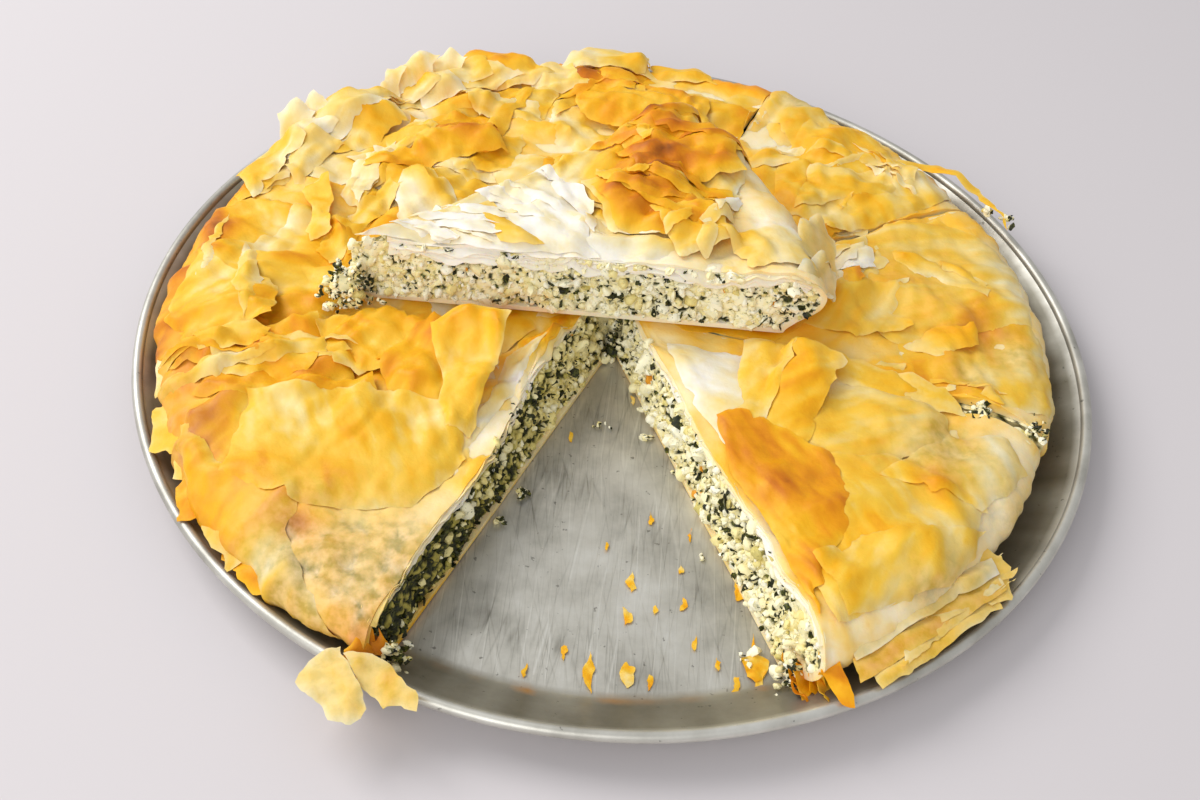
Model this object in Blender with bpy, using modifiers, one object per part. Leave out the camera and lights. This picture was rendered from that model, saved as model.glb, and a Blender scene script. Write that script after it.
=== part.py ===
"""Borek in its round baking tin, cut into wedges, with one wedge lifted out and laid on the rest.

The pie is layered pastry folded round a cheese and spinach filling. The tin stands on z = 0 with its
centre at the origin, +X to the right and -Y towards the empty sector. Sizes are in millimetres and
turned into metres where a mesh is made.
"""

import math
from collections import namedtuple

import bmesh
import bpy
from mathutils import Matrix, Vector, noise

MM = 0.001

# Baking tin: thin drawn aluminium with a sloped wall and a rolled rim
TIN_RADIUS = 180.0
TIN_FLOOR_RADIUS = 158.0
TIN_HEIGHT = 17.0
TIN_SHEET = 1.2
TIN_BEAD_RADIUS = 2.0
TIN_OVALITY = 0.012
TIN_OVAL_AXIS = 150.0
TIN_STEPS = 64
TIN_BEAD_STEPS = 6

# Pie: a flat round cake of pastry and filling
FOOT_INSET = 14.0
PIE_TOP = 29.0
PIE_BOTTOM = 1.6
TOP_PASTRY = 2.6
SIDE_PASTRY = 5.0
BASE_PASTRY = 2.0
SHOULDER = 14.0
BULGE_HEIGHT = 18.0
PLEAT_DEPTH = 1.1
PLEATS = 46
TOP_CELLS = 11
SIDE_CELLS = 5
GAP = 0.4
KNIFE_GAP = 1.2

# Relief of the pastry's top and of the torn filling
WAVE_HEIGHT = 2.4
WAVE_LENGTH = 24.0
CRUMB_RELIEF = 1.6
CRUMB_LENGTH = 7.0

# Wedge that was lifted out: its point, its underside and the flat patch that it rests on
LIFTED_POINT = (-101.0, -9.0)
LIFTED_RADII = (177.0, 160.0)
LIFTED_ANGLES = (-2.0, 38.0)
LIFTED_BOTTOM = 31.2
REST_HEIGHT = 30.2
BARE_POINT = 16.0

FLAKE_THICKNESS = 1.2
FLAKE_ROUNDING = 0.35
TEAR_DEPTH = 2.6
TEAR_SHARE = 0.12
DEGREE = math.pi / 180.0

Slice = namedtuple("Slice", "name start end steps centre radii lift bare open_start open_end")
Flake = namedtuple("Flake", "corners bulge ripple cuts")
Fold = namedtuple("Fold", "start end height width")

# Angles are counted from +X; the sector from -114 to -67 degrees is empty
SLICES = (
    Slice("left", 66.0, 246.0, 36, (0.0, 0.0), (167.0, 170.0), 0.0, 0.0, False, True),
    Slice("front_right", -67.0, -19.0, 10, (0.0, 0.0), (168.0, 164.0), 0.0, 0.0, True, False),
    Slice("right", -19.0, 27.0, 10, (0.0, 0.0), (166.0, 165.0), 0.0, 0.0, False, False),
    Slice("back", 27.0, 66.0, 8, (0.0, 0.0), (164.0, 166.0), 0.0, 0.0, False, False),
    Slice("lifted", *LIFTED_ANGLES, 10, LIFTED_POINT, LIFTED_RADII,
          LIFTED_BOTTOM - PIE_BOTTOM, BARE_POINT, True, True),
)

# Long folds of the top sheets, from one end to the other
FOLDS = (
    Fold((-158, -44), (-100, -22), 3.4, 5.0),
    Fold((-152, -55), (-96, -36), 3.0, 4.5),
    Fold((-140, -66), (-82, -54), 2.6, 5.0),
    Fold((-130, 92), (-60, 120), 3.6, 7.0),
    Fold((-120, 60), (-104, 12), 3.0, 5.0),
    Fold((-20, 132), (52, 118), 3.0, 8.0),
    Fold((58, -104), (130, -76), 2.4, 9.0),
    Fold((70, -134), (112, -100), 2.6, 7.0),
    Fold((96, 22), (140, -4), 1.8, 8.0),
    Fold((70, 92), (118, 66), 2.0, 7.0),
    Fold((-66, 40), (-10, 6), 1.6, 4.0),
    Fold((-4, 62), (46, 30), 3.4, 7.0),
    Fold((10, 20), (60, 10), 2.6, 6.0),
)

# Big torn sheets that stand off each slice, by their four corners
FLAKES = {
    "left": (
        Flake(((-160, -36, 27), (-158, 6, 27), (-125, -8, 36), (-124, -31, 37)), 3.0, 0.8, (6, 5)),
        Flake(((-156, -50, 28), (-154, -44, 31), (-106, -24, 35), (-110, -32, 29)), 1.5, 1.0, (6, 2)),
        Flake(((-140, -66, 28), (-137, -58, 33), (-96, -44, 35), (-98, -54, 28)), 1.5, 1.0, (6, 2)),
        Flake(((-106, -26, 37), (-84, -18, 39), (-66, -46, 29), (-98, -46, 28)), 3.0, 1.5, (5, 4)),
        Flake(((-64, -30, 45), (-36, -25, 51), (-42, -70, 28), (-55, -78, 28)), -3.0, 1.6, (4, 6)),
        Flake(((-34, -30, 33), (-16, -25, 30), (-42, -74, 30), (-56, -70, 28)), 1.5, 0.8, (3, 5)),
        Flake(((-128, 52, 34), (-120, 56, 36), (-114, 26, 34), (-120, 24, 28)), 1.0, 1.0, (3, 3)),
        Flake(((-150, 92, 27), (-118, 118, 30), (-92, 96, 36), (-132, 74, 29)), 3.0, 1.0, (5, 4)),
        Flake(((-90, 100, 29), (-56, 112, 29), (-54, 84, 36), (-86, 76, 34)), 3.0, 1.0, (4, 4)),
        Flake(((-132, 70, 27), (-150, 84, 38), (-138, 104, 37), (-118, 88, 27)), 1.0, 1.6, (4, 3)),
        Flake(((-112, 96, 27), (-128, 112, 40), (-110, 130, 38), (-96, 110, 27)), 1.0, 1.6, (4, 3)),
        Flake(((-92, 118, 27), (-104, 136, 39), (-84, 146, 41), (-74, 124, 27)), 1.0, 1.6, (4, 3)),
        Flake(((-66, 132, 27), (-76, 154, 40), (-52, 158, 38), (-46, 134, 27)), 1.0, 1.6, (4, 3)),
        Flake(((-32, 138, 27), (-36, 160, 36), (6, 162, 37), (8, 140, 27)), 1.0, 1.6, (5, 3)),
        Flake(((-20, 134, 28), (36, 132, 28), (34, 116, 34), (-16, 116, 34)), 2.0, 1.0, (5, 3)),
        Flake(((-160, -64, 22), (-148, -60, 25), (-134, -98, 22), (-137, -101, 15)), 2.0, 1.0, (6, 2)),
        Flake(((-142, -92, 20), (-134, -84, 24), (-104, -122, 23), (-108, -128, 16)), 2.0, 1.0, (6, 2)),
        Flake(((-76, -146, 18), (-62, -150, 18), (-58, -178, 20), (-86, -176, 21)), 2.0, 1.0, (4, 4)),
    ),
    "front_right": (
        Flake(((35, -57, 30), (70, -64, 33), (80, -104, 31), (60, -138, 29)), 1.5, 1.4, (5, 5)),
        Flake(((56, -19, 33), (84, -27, 32), (68, -70, 31), (43, -64, 30)), 2.0, 1.0, (4, 5)),
        Flake(((66, -90, 29), (120, -70, 29), (118, -92, 33), (76, -122, 32)), 2.0, 1.2, (5, 4)),
        Flake(((88, -124, 24), (124, -92, 24), (139, -104, 19), (98, -146, 19)), 2.0, 1.2, (5, 3)),
        Flake(((72, -142, 19), (84, -136, 22), (92, -154, 20), (80, -172, 19)), 1.0, 1.0, (3, 3)),
    ),
    "right": (
        Flake(((73, 28, 29), (97, 34, 34), (100, 16, 33), (76, 10, 29)), 1.0, 0.8, (4, 3)),
        Flake(((82, 8, 29), (113, 16, 33), (105, -4, 34), (88, -12, 29)), 1.0, 0.8, (4, 3)),
        Flake(((110, -14, 30), (133, -4, 35), (138, -18, 31), (119, -26, 29)), 1.0, 1.0, (4, 3)),
    ),
    "back": (
        Flake(((76, 60, 29), (112, 66, 29), (110, 88, 34), (78, 84, 33)), 1.5, 1.0, (4, 3)),
        Flake(((112, 104, 28), (116, 98, 28), (152, 92, 31), (151, 97, 31)), 6.0, 0.6, (7, 1)),
    ),
    "lifted": (
        Flake(((-54, 17, 60), (-44, 19, 62), (-27, -8, 63), (-44, -4, 60)), 1.0, 0.6, (4, 3)),
        Flake(((-12, 22, 59), (26, 30, 60), (28, 4, 66), (0, 4, 64)), 2.5, 1.4, (5, 4)),
        Flake(((10, 12, 60), (36, 18, 66), (41, 0, 66), (20, -9, 60)), 2.0, 1.4, (4, 3)),
        Flake(((36, 4, 59), (62, 12, 62), (67, -6, 62), (48, -13, 59)), 1.0, 1.2, (4, 3)),
        Flake(((-14, 48, 60), (22, 70, 60), (42, 46, 67), (8, 34, 67)), 2.5, 1.4, (5, 4)),
    ),
}

COLOURS = {
    "tin": ((0.52, 0.52, 0.51), 0.38, 1.0),
    "pastry": ((0.86, 0.56, 0.17), 0.55, 0.0),
    "filling": ((0.80, 0.77, 0.58), 0.65, 0.0),
}


def clear_scene():
    """Remove every object, mesh, curve and material that the file opened with."""
    for thing in list(bpy.data.objects):
        bpy.data.objects.remove(thing, do_unlink=True)
    for store in (bpy.data.meshes, bpy.data.curves, bpy.data.materials):
        for block in list(store):
            store.remove(block)


def new_collection(name):
    collection = bpy.data.collections.new(name)
    bpy.context.scene.collection.children.link(collection)
    return collection


def finish_of(kind):
    """The plain material of one kind of surface."""
    colour, roughness, metallic = COLOURS[kind]
    material = bpy.data.materials.new(kind)
    material.use_nodes = True
    shader = material.node_tree.nodes["Principled BSDF"]
    shader.inputs["Base Color"].default_value = (*colour, 1.0)
    shader.inputs["Roughness"].default_value = roughness
    shader.inputs["Metallic"].default_value = metallic
    return material


def polar(centre, radius, angle):
    """Plan position at a radius and an angle in degrees round a centre."""
    return (centre[0] + radius * math.cos(angle * DEGREE),
            centre[1] + radius * math.sin(angle * DEGREE))


def slice_radius(piece, share):
    """Outer radius of a slice at a share of its angle."""
    return piece.radii[0] + (piece.radii[1] - piece.radii[0]) * share


def beside_cut(piece, radius, share, extra=0.0):
    """Plan position at a share of a slice's angle, kept half a knife gap from each of its cuts."""
    angle = piece.start + (piece.end - piece.start) * share
    x, y = polar(piece.centre, radius, angle)
    inset = KNIFE_GAP * (0.5 - share) + extra
    return x - inset * math.sin(angle * DEGREE), y + inset * math.cos(angle * DEGREE)


def fold_height(x, y):
    """How far the highest long fold lifts the top sheet at one place."""
    place = Vector((x, y))
    lift = 0.0
    for fold in FOLDS:
        start, end = Vector(fold.start), Vector(fold.end)
        along = end - start
        share = max(0.0, min(1.0, (place - start).dot(along) / along.length_squared))
        away = (place - (start + along * share)).length / fold.width
        ends = math.sin(math.pi * (0.15 + 0.7 * share))
        lift = max(lift, fold.height * ends * max(0.0, 1.0 - away))
    return lift


def under_lifted(x, y):
    """1 where the lifted wedge lies on the pie, falling to 0 within 10 mm outside it."""
    dx, dy = x - LIFTED_POINT[0], y - LIFTED_POINT[1]
    radius = math.hypot(dx, dy)
    angle = math.degrees(math.atan2(dy, dx))
    low, high = LIFTED_ANGLES
    outside = max(low - angle, angle - high, 0.0) * DEGREE * max(radius, 1.0)
    outside = max(outside, radius - max(LIFTED_RADII))
    return max(0.0, 1.0 - outside / 10.0)


def top_height(x, y, lifted):
    """Height of the outer sheet over the bottom of a slice that lies in the tin."""
    wave = WAVE_HEIGHT * noise.noise(Vector((x, y, 0.0)) / WAVE_LENGTH)
    height = PIE_TOP + wave + fold_height(x, y)
    if lifted:
        return height
    covered = under_lifted(x, y)
    return height + (min(height, REST_HEIGHT) - height) * covered


def pleat(angle, height):
    """Small in and out of the gathered pastry round the side, strongest at mid height."""
    strength = max(0.0, 1.0 - abs(height - BULGE_HEIGHT) / 14.0)
    return PLEAT_DEPTH * strength * math.sin(angle * DEGREE * PLEATS)


def pastry_section(piece, share):
    """Radius and height pairs of the pastry's outside and inside, from the point's top round to its foot."""
    radius = slice_radius(piece, share)
    foot = radius - FOOT_INSET
    inner_edge = radius - SHOULDER - 2.0
    tip = 3.0
    first = tip + piece.bare
    top = [first + (radius - SHOULDER - first) * k / TOP_CELLS for k in range(TOP_CELLS + 1)]
    outer = []
    for reach in top:
        x, y = beside_cut(piece, reach, share)
        outer.append((reach, top_height(x, y, piece.lift > 0.0)))
    edge = outer[-1][1]
    outer += [(radius - 6.0, edge - 2.6), (radius - 1.2, edge - 7.0), (radius, BULGE_HEIGHT),
              (radius - 3.0, 12.0), (foot + 2.0, 4.0), (foot - 2.0, PIE_BOTTOM),
              (radius * 0.5, PIE_BOTTOM), (tip, PIE_BOTTOM)]
    roof = PIE_TOP - TOP_PASTRY
    inner = [(min(reach, inner_edge), roof) for reach in top]
    inner += [(radius - 12.0, roof - 2.4), (radius - 8.0, roof - 5.0), (radius - SIDE_PASTRY - 1.5, BULGE_HEIGHT - 1.0),
              (radius - SIDE_PASTRY - 4.0, 12.5), (foot - 4.0, 6.0),
              (foot - 8.0, PIE_BOTTOM + BASE_PASTRY), (radius * 0.5, PIE_BOTTOM + BASE_PASTRY),
              (tip, PIE_BOTTOM + BASE_PASTRY)]
    return outer, inner


def block(name, cuts, place):
    """A closed block, cut into a grid of cells, whose corners a function of their cell numbers places."""
    mesh = bmesh.new()
    bmesh.ops.create_cube(mesh, size=1.0, matrix=Matrix.Translation((0.5, 0.5, 0.5)))
    for axis in range(3):
        normal = Vector((0.0, 0.0, 0.0))
        normal[axis] = 1.0
        for cut in range(1, cuts[axis]):
            geometry = mesh.verts[:] + mesh.edges[:] + mesh.faces[:]
            bmesh.ops.bisect_plane(mesh, geom=geometry, dist=1e-6, plane_co=normal * (cut / cuts[axis]),
                                   plane_no=normal)
    for vertex in mesh.verts:
        cell = [round(vertex.co[axis] * cuts[axis]) for axis in range(3)]
        vertex.co = Vector(place(*cell)) * MM
    bmesh.ops.triangulate(mesh, faces=mesh.faces[:])
    bmesh.ops.recalc_face_normals(mesh, faces=mesh.faces[:])
    data = bpy.data.meshes.new(name)
    mesh.to_mesh(data)
    mesh.free()
    return bpy.data.objects.new(name, data)


def pastry_shell(piece, name):
    """The sheets of one slice: over the filling, down its outer side and back under it."""
    sections = [pastry_section(piece, step / piece.steps) for step in range(piece.steps + 1)]

    def place(along, across, turn):
        share = turn / piece.steps
        radius, height = sections[turn][across][along]
        if across == 0 and TOP_CELLS < along < TOP_CELLS + SIDE_CELLS:
            radius += pleat(piece.start + (piece.end - piece.start) * share, height)
        x, y = beside_cut(piece, radius, share)
        return x, y, height + piece.lift

    return block(name, (len(sections[0][0]) - 1, 1, piece.steps), place)


def filling_body(piece, name):
    """The filling of one slice, with a crumbled face at each cut and at the point."""
    radial, vertical = 18, 4
    floor = PIE_BOTTOM + BASE_PASTRY + GAP
    roof = PIE_TOP - TOP_PASTRY - GAP
    tip = 3.5

    def reach(height, turn_share):
        """Radius of the filling's outer side, which follows the inside of the pastry."""
        share = (height - floor) / (roof - floor)
        bulge = 12.0 * math.sin(math.pi * min(share, 0.62) / 1.24)
        narrowing = 9.0 * max(0.0, share - 0.62) / 0.38
        return slice_radius(piece, turn_share) - FOOT_INSET - 9.0 - GAP + bulge - narrowing

    def place(along, up, turn):
        height = floor + (roof - floor) * up / vertical
        share = turn / piece.steps
        radius = tip + (reach(height, share) - tip) * along / radial
        crumb = 0.0
        if turn in (0, piece.steps) and 0 < up < vertical and 0 < along < radial:
            x, y = beside_cut(piece, radius, share)
            crumb = CRUMB_RELIEF * noise.noise(Vector((x, y, height * 1.7)) / CRUMB_LENGTH)
            is_open = piece.open_start if turn == 0 else piece.open_end
            crumb = crumb if is_open else min(crumb, 0.0)
            crumb *= -1.0 if turn == 0 else 1.0
        return *beside_cut(piece, radius, share, crumb), height + piece.lift

    return block(name, (radial, vertical, piece.steps), place)


def torn_sheet(flake, name):
    """A thin wavy sheet stretched between its four corners."""
    across, along = flake.cuts
    first, second, third, fourth = (Vector(corner) for corner in flake.corners)
    shorter = min((second - first).length, (third - second).length, (fourth - first).length)
    tear = min(TEAR_DEPTH, TEAR_SHARE * shorter)

    def place(u_cell, v_cell, side):
        u, v = 2.0 * u_cell / across - 1.0, 2.0 * v_cell / along - 1.0
        rounded_u = 0.5 + 0.5 * u * math.sqrt(1.0 - FLAKE_ROUNDING * v * v)
        rounded_v = 0.5 + 0.5 * v * math.sqrt(1.0 - FLAKE_ROUNDING * u * u)
        u, v = rounded_u, rounded_v
        point = first.lerp(second, u).lerp(fourth.lerp(third, u), v)
        if u_cell in (0, across) or v_cell in (0, along):
            place_in_tear = Vector((point.x, point.y, 0.0)) / 5.0
            point.x += tear * noise.noise(place_in_tear)
            point.y += tear * noise.noise(place_in_tear + Vector((0.0, 0.0, 5.0)))
        point.z += flake.bulge * math.sin(math.pi * u) * math.sin(math.pi * v)
        point.z += flake.ripple * noise.noise(Vector((point.x, point.y, 7.0)) / 6.0)
        point.z += side * FLAKE_THICKNESS
        return point

    return block(name, (across, along, 1), place)


def fuse(body, extras):
    """Join a body and the pieces of a collection into one closed solid."""
    join = body.modifiers.new("fused_sheets", "BOOLEAN")
    join.operation = "UNION"
    join.operand_type = "COLLECTION"
    join.collection = extras
    join.solver = "EXACT"
    evaluated = body.evaluated_get(bpy.context.evaluated_depsgraph_get())
    joined = bpy.data.meshes.new_from_object(evaluated)
    body.modifiers.clear()
    body.data = joined
    for thing in list(extras.objects):
        bpy.data.objects.remove(thing, do_unlink=True)
    bpy.data.collections.remove(extras)


def drop_scraps(body):
    """Keep only the largest connected part of a fused solid."""
    mesh = bmesh.new()
    mesh.from_mesh(body.data)
    waiting = set(mesh.verts)
    parts = []
    while waiting:
        stack = [waiting.pop()]
        part = set(stack)
        while stack:
            for edge in stack.pop().link_edges:
                for vertex in edge.verts:
                    if vertex in waiting:
                        waiting.discard(vertex)
                        part.add(vertex)
                        stack.append(vertex)
        parts.append(part)
    parts.sort(key=len)
    loose = [vertex for part in parts[:-1] for vertex in part]
    bmesh.ops.delete(mesh, geom=loose, context="VERTS")
    mesh.to_mesh(body.data)
    mesh.free()


def dress(thing, material, sharp_angle):
    thing.data.materials.clear()
    thing.data.materials.append(material)
    thing.data.shade_smooth()
    thing.data.set_sharp_from_angle(angle=sharp_angle * DEGREE)


def tin_profile():
    """Half section of the tin: floor, inside of the wall, over the bead, outside and underside."""
    bead_x = TIN_RADIUS - TIN_BEAD_RADIUS
    bead_z = TIN_HEIGHT - TIN_BEAD_RADIUS
    points = [(0.0, TIN_SHEET), (TIN_FLOOR_RADIUS * 0.5, TIN_SHEET), (TIN_FLOOR_RADIUS - 3.0, TIN_SHEET),
              (TIN_FLOOR_RADIUS, TIN_SHEET + 1.2)]
    for step in range(TIN_BEAD_STEPS + 1):
        angle = (195.0 - 300.0 * step / TIN_BEAD_STEPS) * DEGREE
        points.append((bead_x + TIN_BEAD_RADIUS * math.cos(angle), bead_z + TIN_BEAD_RADIUS * math.sin(angle)))
    points += [(TIN_FLOOR_RADIUS + 1.4, 1.6), (TIN_FLOOR_RADIUS - 2.0, 0.0), (0.0, 0.0)]
    return points


def tin(collection, material):
    """The round baking tin, turned and then pressed a little out of round."""
    profile = tin_profile()
    data = bpy.data.meshes.new("tin")
    points = [(x * MM, 0.0, z * MM) for x, z in profile]
    data.from_pydata(points, [(k, k + 1) for k in range(len(points) - 1)], [])
    thing = bpy.data.objects.new("tin", data)
    collection.objects.link(thing)
    turn = thing.modifiers.new("turn", "SCREW")
    turn.steps = TIN_STEPS
    turn.render_steps = TIN_STEPS
    turn.use_merge_vertices = True
    turn.merge_threshold = 0.00005
    evaluated = thing.evaluated_get(bpy.context.evaluated_depsgraph_get())
    turned = bpy.data.meshes.new_from_object(evaluated)
    thing.modifiers.clear()
    thing.data = turned
    for vertex in turned.vertices:
        angle = math.atan2(vertex.co.y, vertex.co.x)
        stretch = 1.0 + TIN_OVALITY * math.cos(2.0 * (angle - TIN_OVAL_AXIS * DEGREE))
        vertex.co.x *= stretch
        vertex.co.y *= stretch
    dress(thing, material, 40.0)


def slice_pieces(collection, piece, pastry_finish, filling_finish):
    """Pastry with its torn sheets, and filling, of one slice."""
    pastry = pastry_shell(piece, "pastry_" + piece.name)
    collection.objects.link(pastry)
    extras = new_collection("torn_sheets")
    for number, flake in enumerate(FLAKES[piece.name]):
        extras.objects.link(torn_sheet(flake, "torn_sheet_%d" % number))
    fuse(pastry, extras)
    drop_scraps(pastry)
    filling = filling_body(piece, "filling_" + piece.name)
    collection.objects.link(filling)
    dress(pastry, pastry_finish, 40.0)
    dress(filling, filling_finish, 50.0)
    origin = Vector((*piece.centre, piece.lift)) * MM
    for thing in (pastry, filling):
        thing.data.transform(Matrix.Translation(-origin))
        thing.location = origin


def main():
    clear_scene()
    parts = new_collection("borek")
    pastry_finish = finish_of("pastry")
    filling_finish = finish_of("filling")
    tin(parts, finish_of("tin"))
    for piece in SLICES:
        slice_pieces(parts, piece, pastry_finish, filling_finish)


main()
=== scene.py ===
"""Looks of a cheese and spinach borek in its round baking tin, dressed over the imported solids.

Lengths are in millimetres unless a name says otherwise, and become metres when a mesh is made. The pie's
centre is the origin, +Z is up, and the empty sector faces -Y.
"""
import logging
import math
from dataclasses import dataclass, field
from enum import Enum

import bmesh
import bpy
import numpy as np
from mathutils import Matrix, Vector, geometry, noise


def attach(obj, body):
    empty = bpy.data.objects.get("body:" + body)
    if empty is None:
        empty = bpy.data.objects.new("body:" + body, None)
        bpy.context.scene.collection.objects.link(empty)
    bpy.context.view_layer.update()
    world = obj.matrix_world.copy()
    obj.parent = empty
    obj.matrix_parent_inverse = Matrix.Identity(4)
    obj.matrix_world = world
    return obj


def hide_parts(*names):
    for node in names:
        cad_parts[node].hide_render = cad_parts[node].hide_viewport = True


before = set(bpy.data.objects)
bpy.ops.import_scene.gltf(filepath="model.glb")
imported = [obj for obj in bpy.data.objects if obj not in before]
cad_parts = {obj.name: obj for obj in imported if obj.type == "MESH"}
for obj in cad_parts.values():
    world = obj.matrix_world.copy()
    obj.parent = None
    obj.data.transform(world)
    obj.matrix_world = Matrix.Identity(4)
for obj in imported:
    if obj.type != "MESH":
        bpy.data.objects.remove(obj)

LOG = logging.getLogger("borek")
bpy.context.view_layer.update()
MM = 0.001
BODY = "root"
# Faces that meet at more than this many degrees have a sharp edge between them
SHARP_ANGLE = 48.0

# The pie's sizes, the same as its solids have
PIE_TOP = 29.0
PIE_BOTTOM = 1.6
TOP_PASTRY = 1.6
BASE_PASTRY = 2.0
SHOULDER = 14.0
KNIFE_GAP = 1.2
POINT_RADIUS = 3.0
WAVE_HEIGHT = 2.4
WAVE_LENGTH = 24.0
REST_HEIGHT = 30.2
LIFTED_POINT = (-101.0, -9.0)
LIFTED_RADII = (177.0, 160.0)
LIFTED_ANGLES = (-2.0, 38.0)
LIFTED_BOTTOM = 31.2
# Long folds in the top sheets: start, end, height and half width
FOLDS = (
    ((-158, -44), (-100, -22), 3.4, 5.0),
    ((-152, -55), (-96, -36), 3.0, 4.5),
    ((-140, -66), (-82, -54), 2.6, 5.0),
    ((-130, 92), (-60, 120), 3.6, 7.0),
    ((-120, 60), (-104, 12), 3.0, 5.0),
    ((-20, 132), (52, 118), 3.0, 8.0),
    ((58, -104), (130, -76), 2.4, 9.0),
    ((70, -134), (112, -100), 2.6, 7.0),
    ((96, 22), (140, -4), 1.8, 8.0),
    ((70, 92), (118, 66), 2.0, 7.0),
    ((-66, 40), (-10, 6), 1.6, 4.0),
    ((-4, 62), (46, 30), 3.4, 7.0),
    ((10, 20), (60, 10), 2.6, 6.0),
)

# The pleats down the side are spaced as at this radius
PLEAT_RADIUS = 165.0
# Below this height the side no longer follows the rise and fall of the top
STILL_HEIGHT = 8.0
# The lifted wedge takes this share off what stands up under it, and fades out over a margin
PRESSED_SHARE = 0.86
PRESS_MARGIN = 10.0
# How far behind a cut its lean reaches
LEAN_DEPTH = 18.0

Grid = np.ndarray
Stops = tuple[tuple[float, str], ...]
Spot = tuple[float, float, float]
Tree = bpy.types.NodeTree


class Crumb(Enum):
    """What a loose bit of the filling is."""

    CURD = "curd"
    LEAF = "leaf"


def linear(code: str) -> tuple[float, float, float, float]:
    """Turn an sRGB hex colour into linear RGBA.

    Args:
        code: The colour, such as "#F3D691".

    Returns:
        Its linear red, green and blue, with alpha 1.
    """
    parts = [int(code[k:k + 2], 16) / 255.0 for k in (1, 3, 5)]
    return (*(c / 12.92 if c <= 0.04045 else ((c + 0.055) / 1.055) ** 2.4 for c in parts), 1.0)


def add_node(tree: Tree, kind: str, settings: dict | None = None, links: dict | None = None
             ) -> bpy.types.Node:
    """Add a node to a material with its settings and its links.

    Args:
        tree: The material's node tree.
        kind: The node's class name without its "ShaderNode" start.
        settings: Values for the node's attributes, or for its inputs by name or number. A colour ramp takes
            its stops as "stops", pairs of position and hex colour.
        links: Output sockets to join to the inputs by name or number.

    Returns:
        The new node.
    """
    node = tree.nodes.new("ShaderNode" + kind)
    for name, value in (settings or {}).items():
        if name == "stops":
            elements = node.color_ramp.elements
            while len(elements) < len(value):
                elements.new(0.5)
            for element, (position, code) in zip(elements, value):
                element.position = position
                element.color = linear(code)
        elif isinstance(name, int) or name in node.inputs:
            node.inputs[name].default_value = value
        else:
            setattr(node, name, value)
    for name, socket in (links or {}).items():
        tree.links.new(socket, node.inputs[name])
    return node


def new_material(name: str, settings: dict | None = None
                 ) -> tuple[bpy.types.Material, Tree, bpy.types.Node]:
    """Make a material with only its shader and output.

    Args:
        name: The material's name.
        settings: Values for the shader's own sockets.

    Returns:
        The material, its tree and its Principled shader.
    """
    material = bpy.data.materials.new(name)
    material.use_nodes = True
    shader = material.node_tree.nodes["Principled BSDF"]
    for socket, value in (settings or {}).items():
        shader.inputs[socket].default_value = value
    return material, material.node_tree, shader


def hashed(ix: Grid, iy: Grid, seed: int) -> Grid:
    """A fixed pseudo-random number from 0 to 1 for each lattice cell.

    Args:
        ix: First cell number.
        iy: Second cell number.
        seed: Which numbers.

    Returns:
        The numbers.
    """
    n = (np.asarray(ix).astype(np.int64) * 374761393 + np.asarray(iy).astype(np.int64) * 668265263
         + seed * 974634541) & 0xFFFFFFFF
    n = ((n ^ (n >> 13)) * 1274126177) & 0xFFFFFFFF
    n = ((n ^ (n >> 16)) * 2246822519) & 0xFFFFFFFF
    return ((n ^ (n >> 13)) & 0xFFFFFF) / float(0xFFFFFF)


def smooth_noise(x: Grid, y: Grid, size: float, seed: int) -> Grid:
    """Soft value noise from -1 to 1.

    Args:
        x: First coordinate.
        y: Second coordinate.
        size: Width of a bump.
        seed: Which noise.

    Returns:
        The noise at each place.
    """
    gx, gy = np.asarray(x, float) / size, np.asarray(y, float) / size
    ix, iy = np.floor(gx), np.floor(gy)
    fx, fy = gx - ix, gy - iy
    fx, fy = fx * fx * (3.0 - 2.0 * fx), fy * fy * (3.0 - 2.0 * fy)
    low = hashed(ix, iy, seed) * (1.0 - fx) + hashed(ix + 1, iy, seed) * fx
    high = hashed(ix, iy + 1, seed) * (1.0 - fx) + hashed(ix + 1, iy + 1, seed) * fx
    return 2.0 * (low * (1.0 - fy) + high * fy) - 1.0


def rough_noise(x: Grid, y: Grid, size: float, seed: int, octaves: int = 3) -> Grid:
    """Layers of smooth noise, each half as wide and half as strong as the one before.

    Args:
        x: First coordinate.
        y: Second coordinate.
        size: Width of the widest bumps.
        seed: Which noise.
        octaves: How many layers.

    Returns:
        The noise at each place.
    """
    total = np.zeros(np.broadcast(x, y).shape)
    for octave in range(octaves):
        total = total + smooth_noise(x, y, size / 2 ** octave, seed + 31 * octave) / 2 ** octave
    return total


def wrinkles(x: Grid, y: Grid, size: float, seed: int) -> Grid:
    """Sharp winding ridges from 0 to 1, as a thin dry sheet has."""
    x = x + 0.5 * size * smooth_noise(x, y, size * 1.7, seed + 5)
    return 1.0 - np.sqrt(np.abs(rough_noise(x, y, size, seed, 2)) / 1.5 + 0.002)


def creased(x: Grid, y: Grid, size: float, seed: int) -> Grid:
    """Flat facets between sharp creases, from 0 to 1, as crushed paper has.

    Args:
        x: First coordinate.
        y: Second coordinate.
        size: Width of a facet.
        seed: Which creases.

    Returns:
        Height at each place.
    """
    total = whole = 0.0
    for k in range(5):
        turn = math.pi * (k + float(hashed(seed, k, 3))) / 5.0
        beside = (x * math.cos(turn) + y * math.sin(turn)) / (size * (0.7 + 0.7 * float(hashed(seed, k, 8))))
        beside = beside + 0.6 * smooth_noise(x, y, 1.6 * size, seed + 7 * k)
        weight = 0.15 + ease(-0.3, 0.6, smooth_noise(x, y, 1.3 * size, seed + 7 * k + 3))
        total = total + weight * np.abs(2.0 * (beside % 1.0) - 1.0)
        whole = whole + weight
    return total / whole


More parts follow.
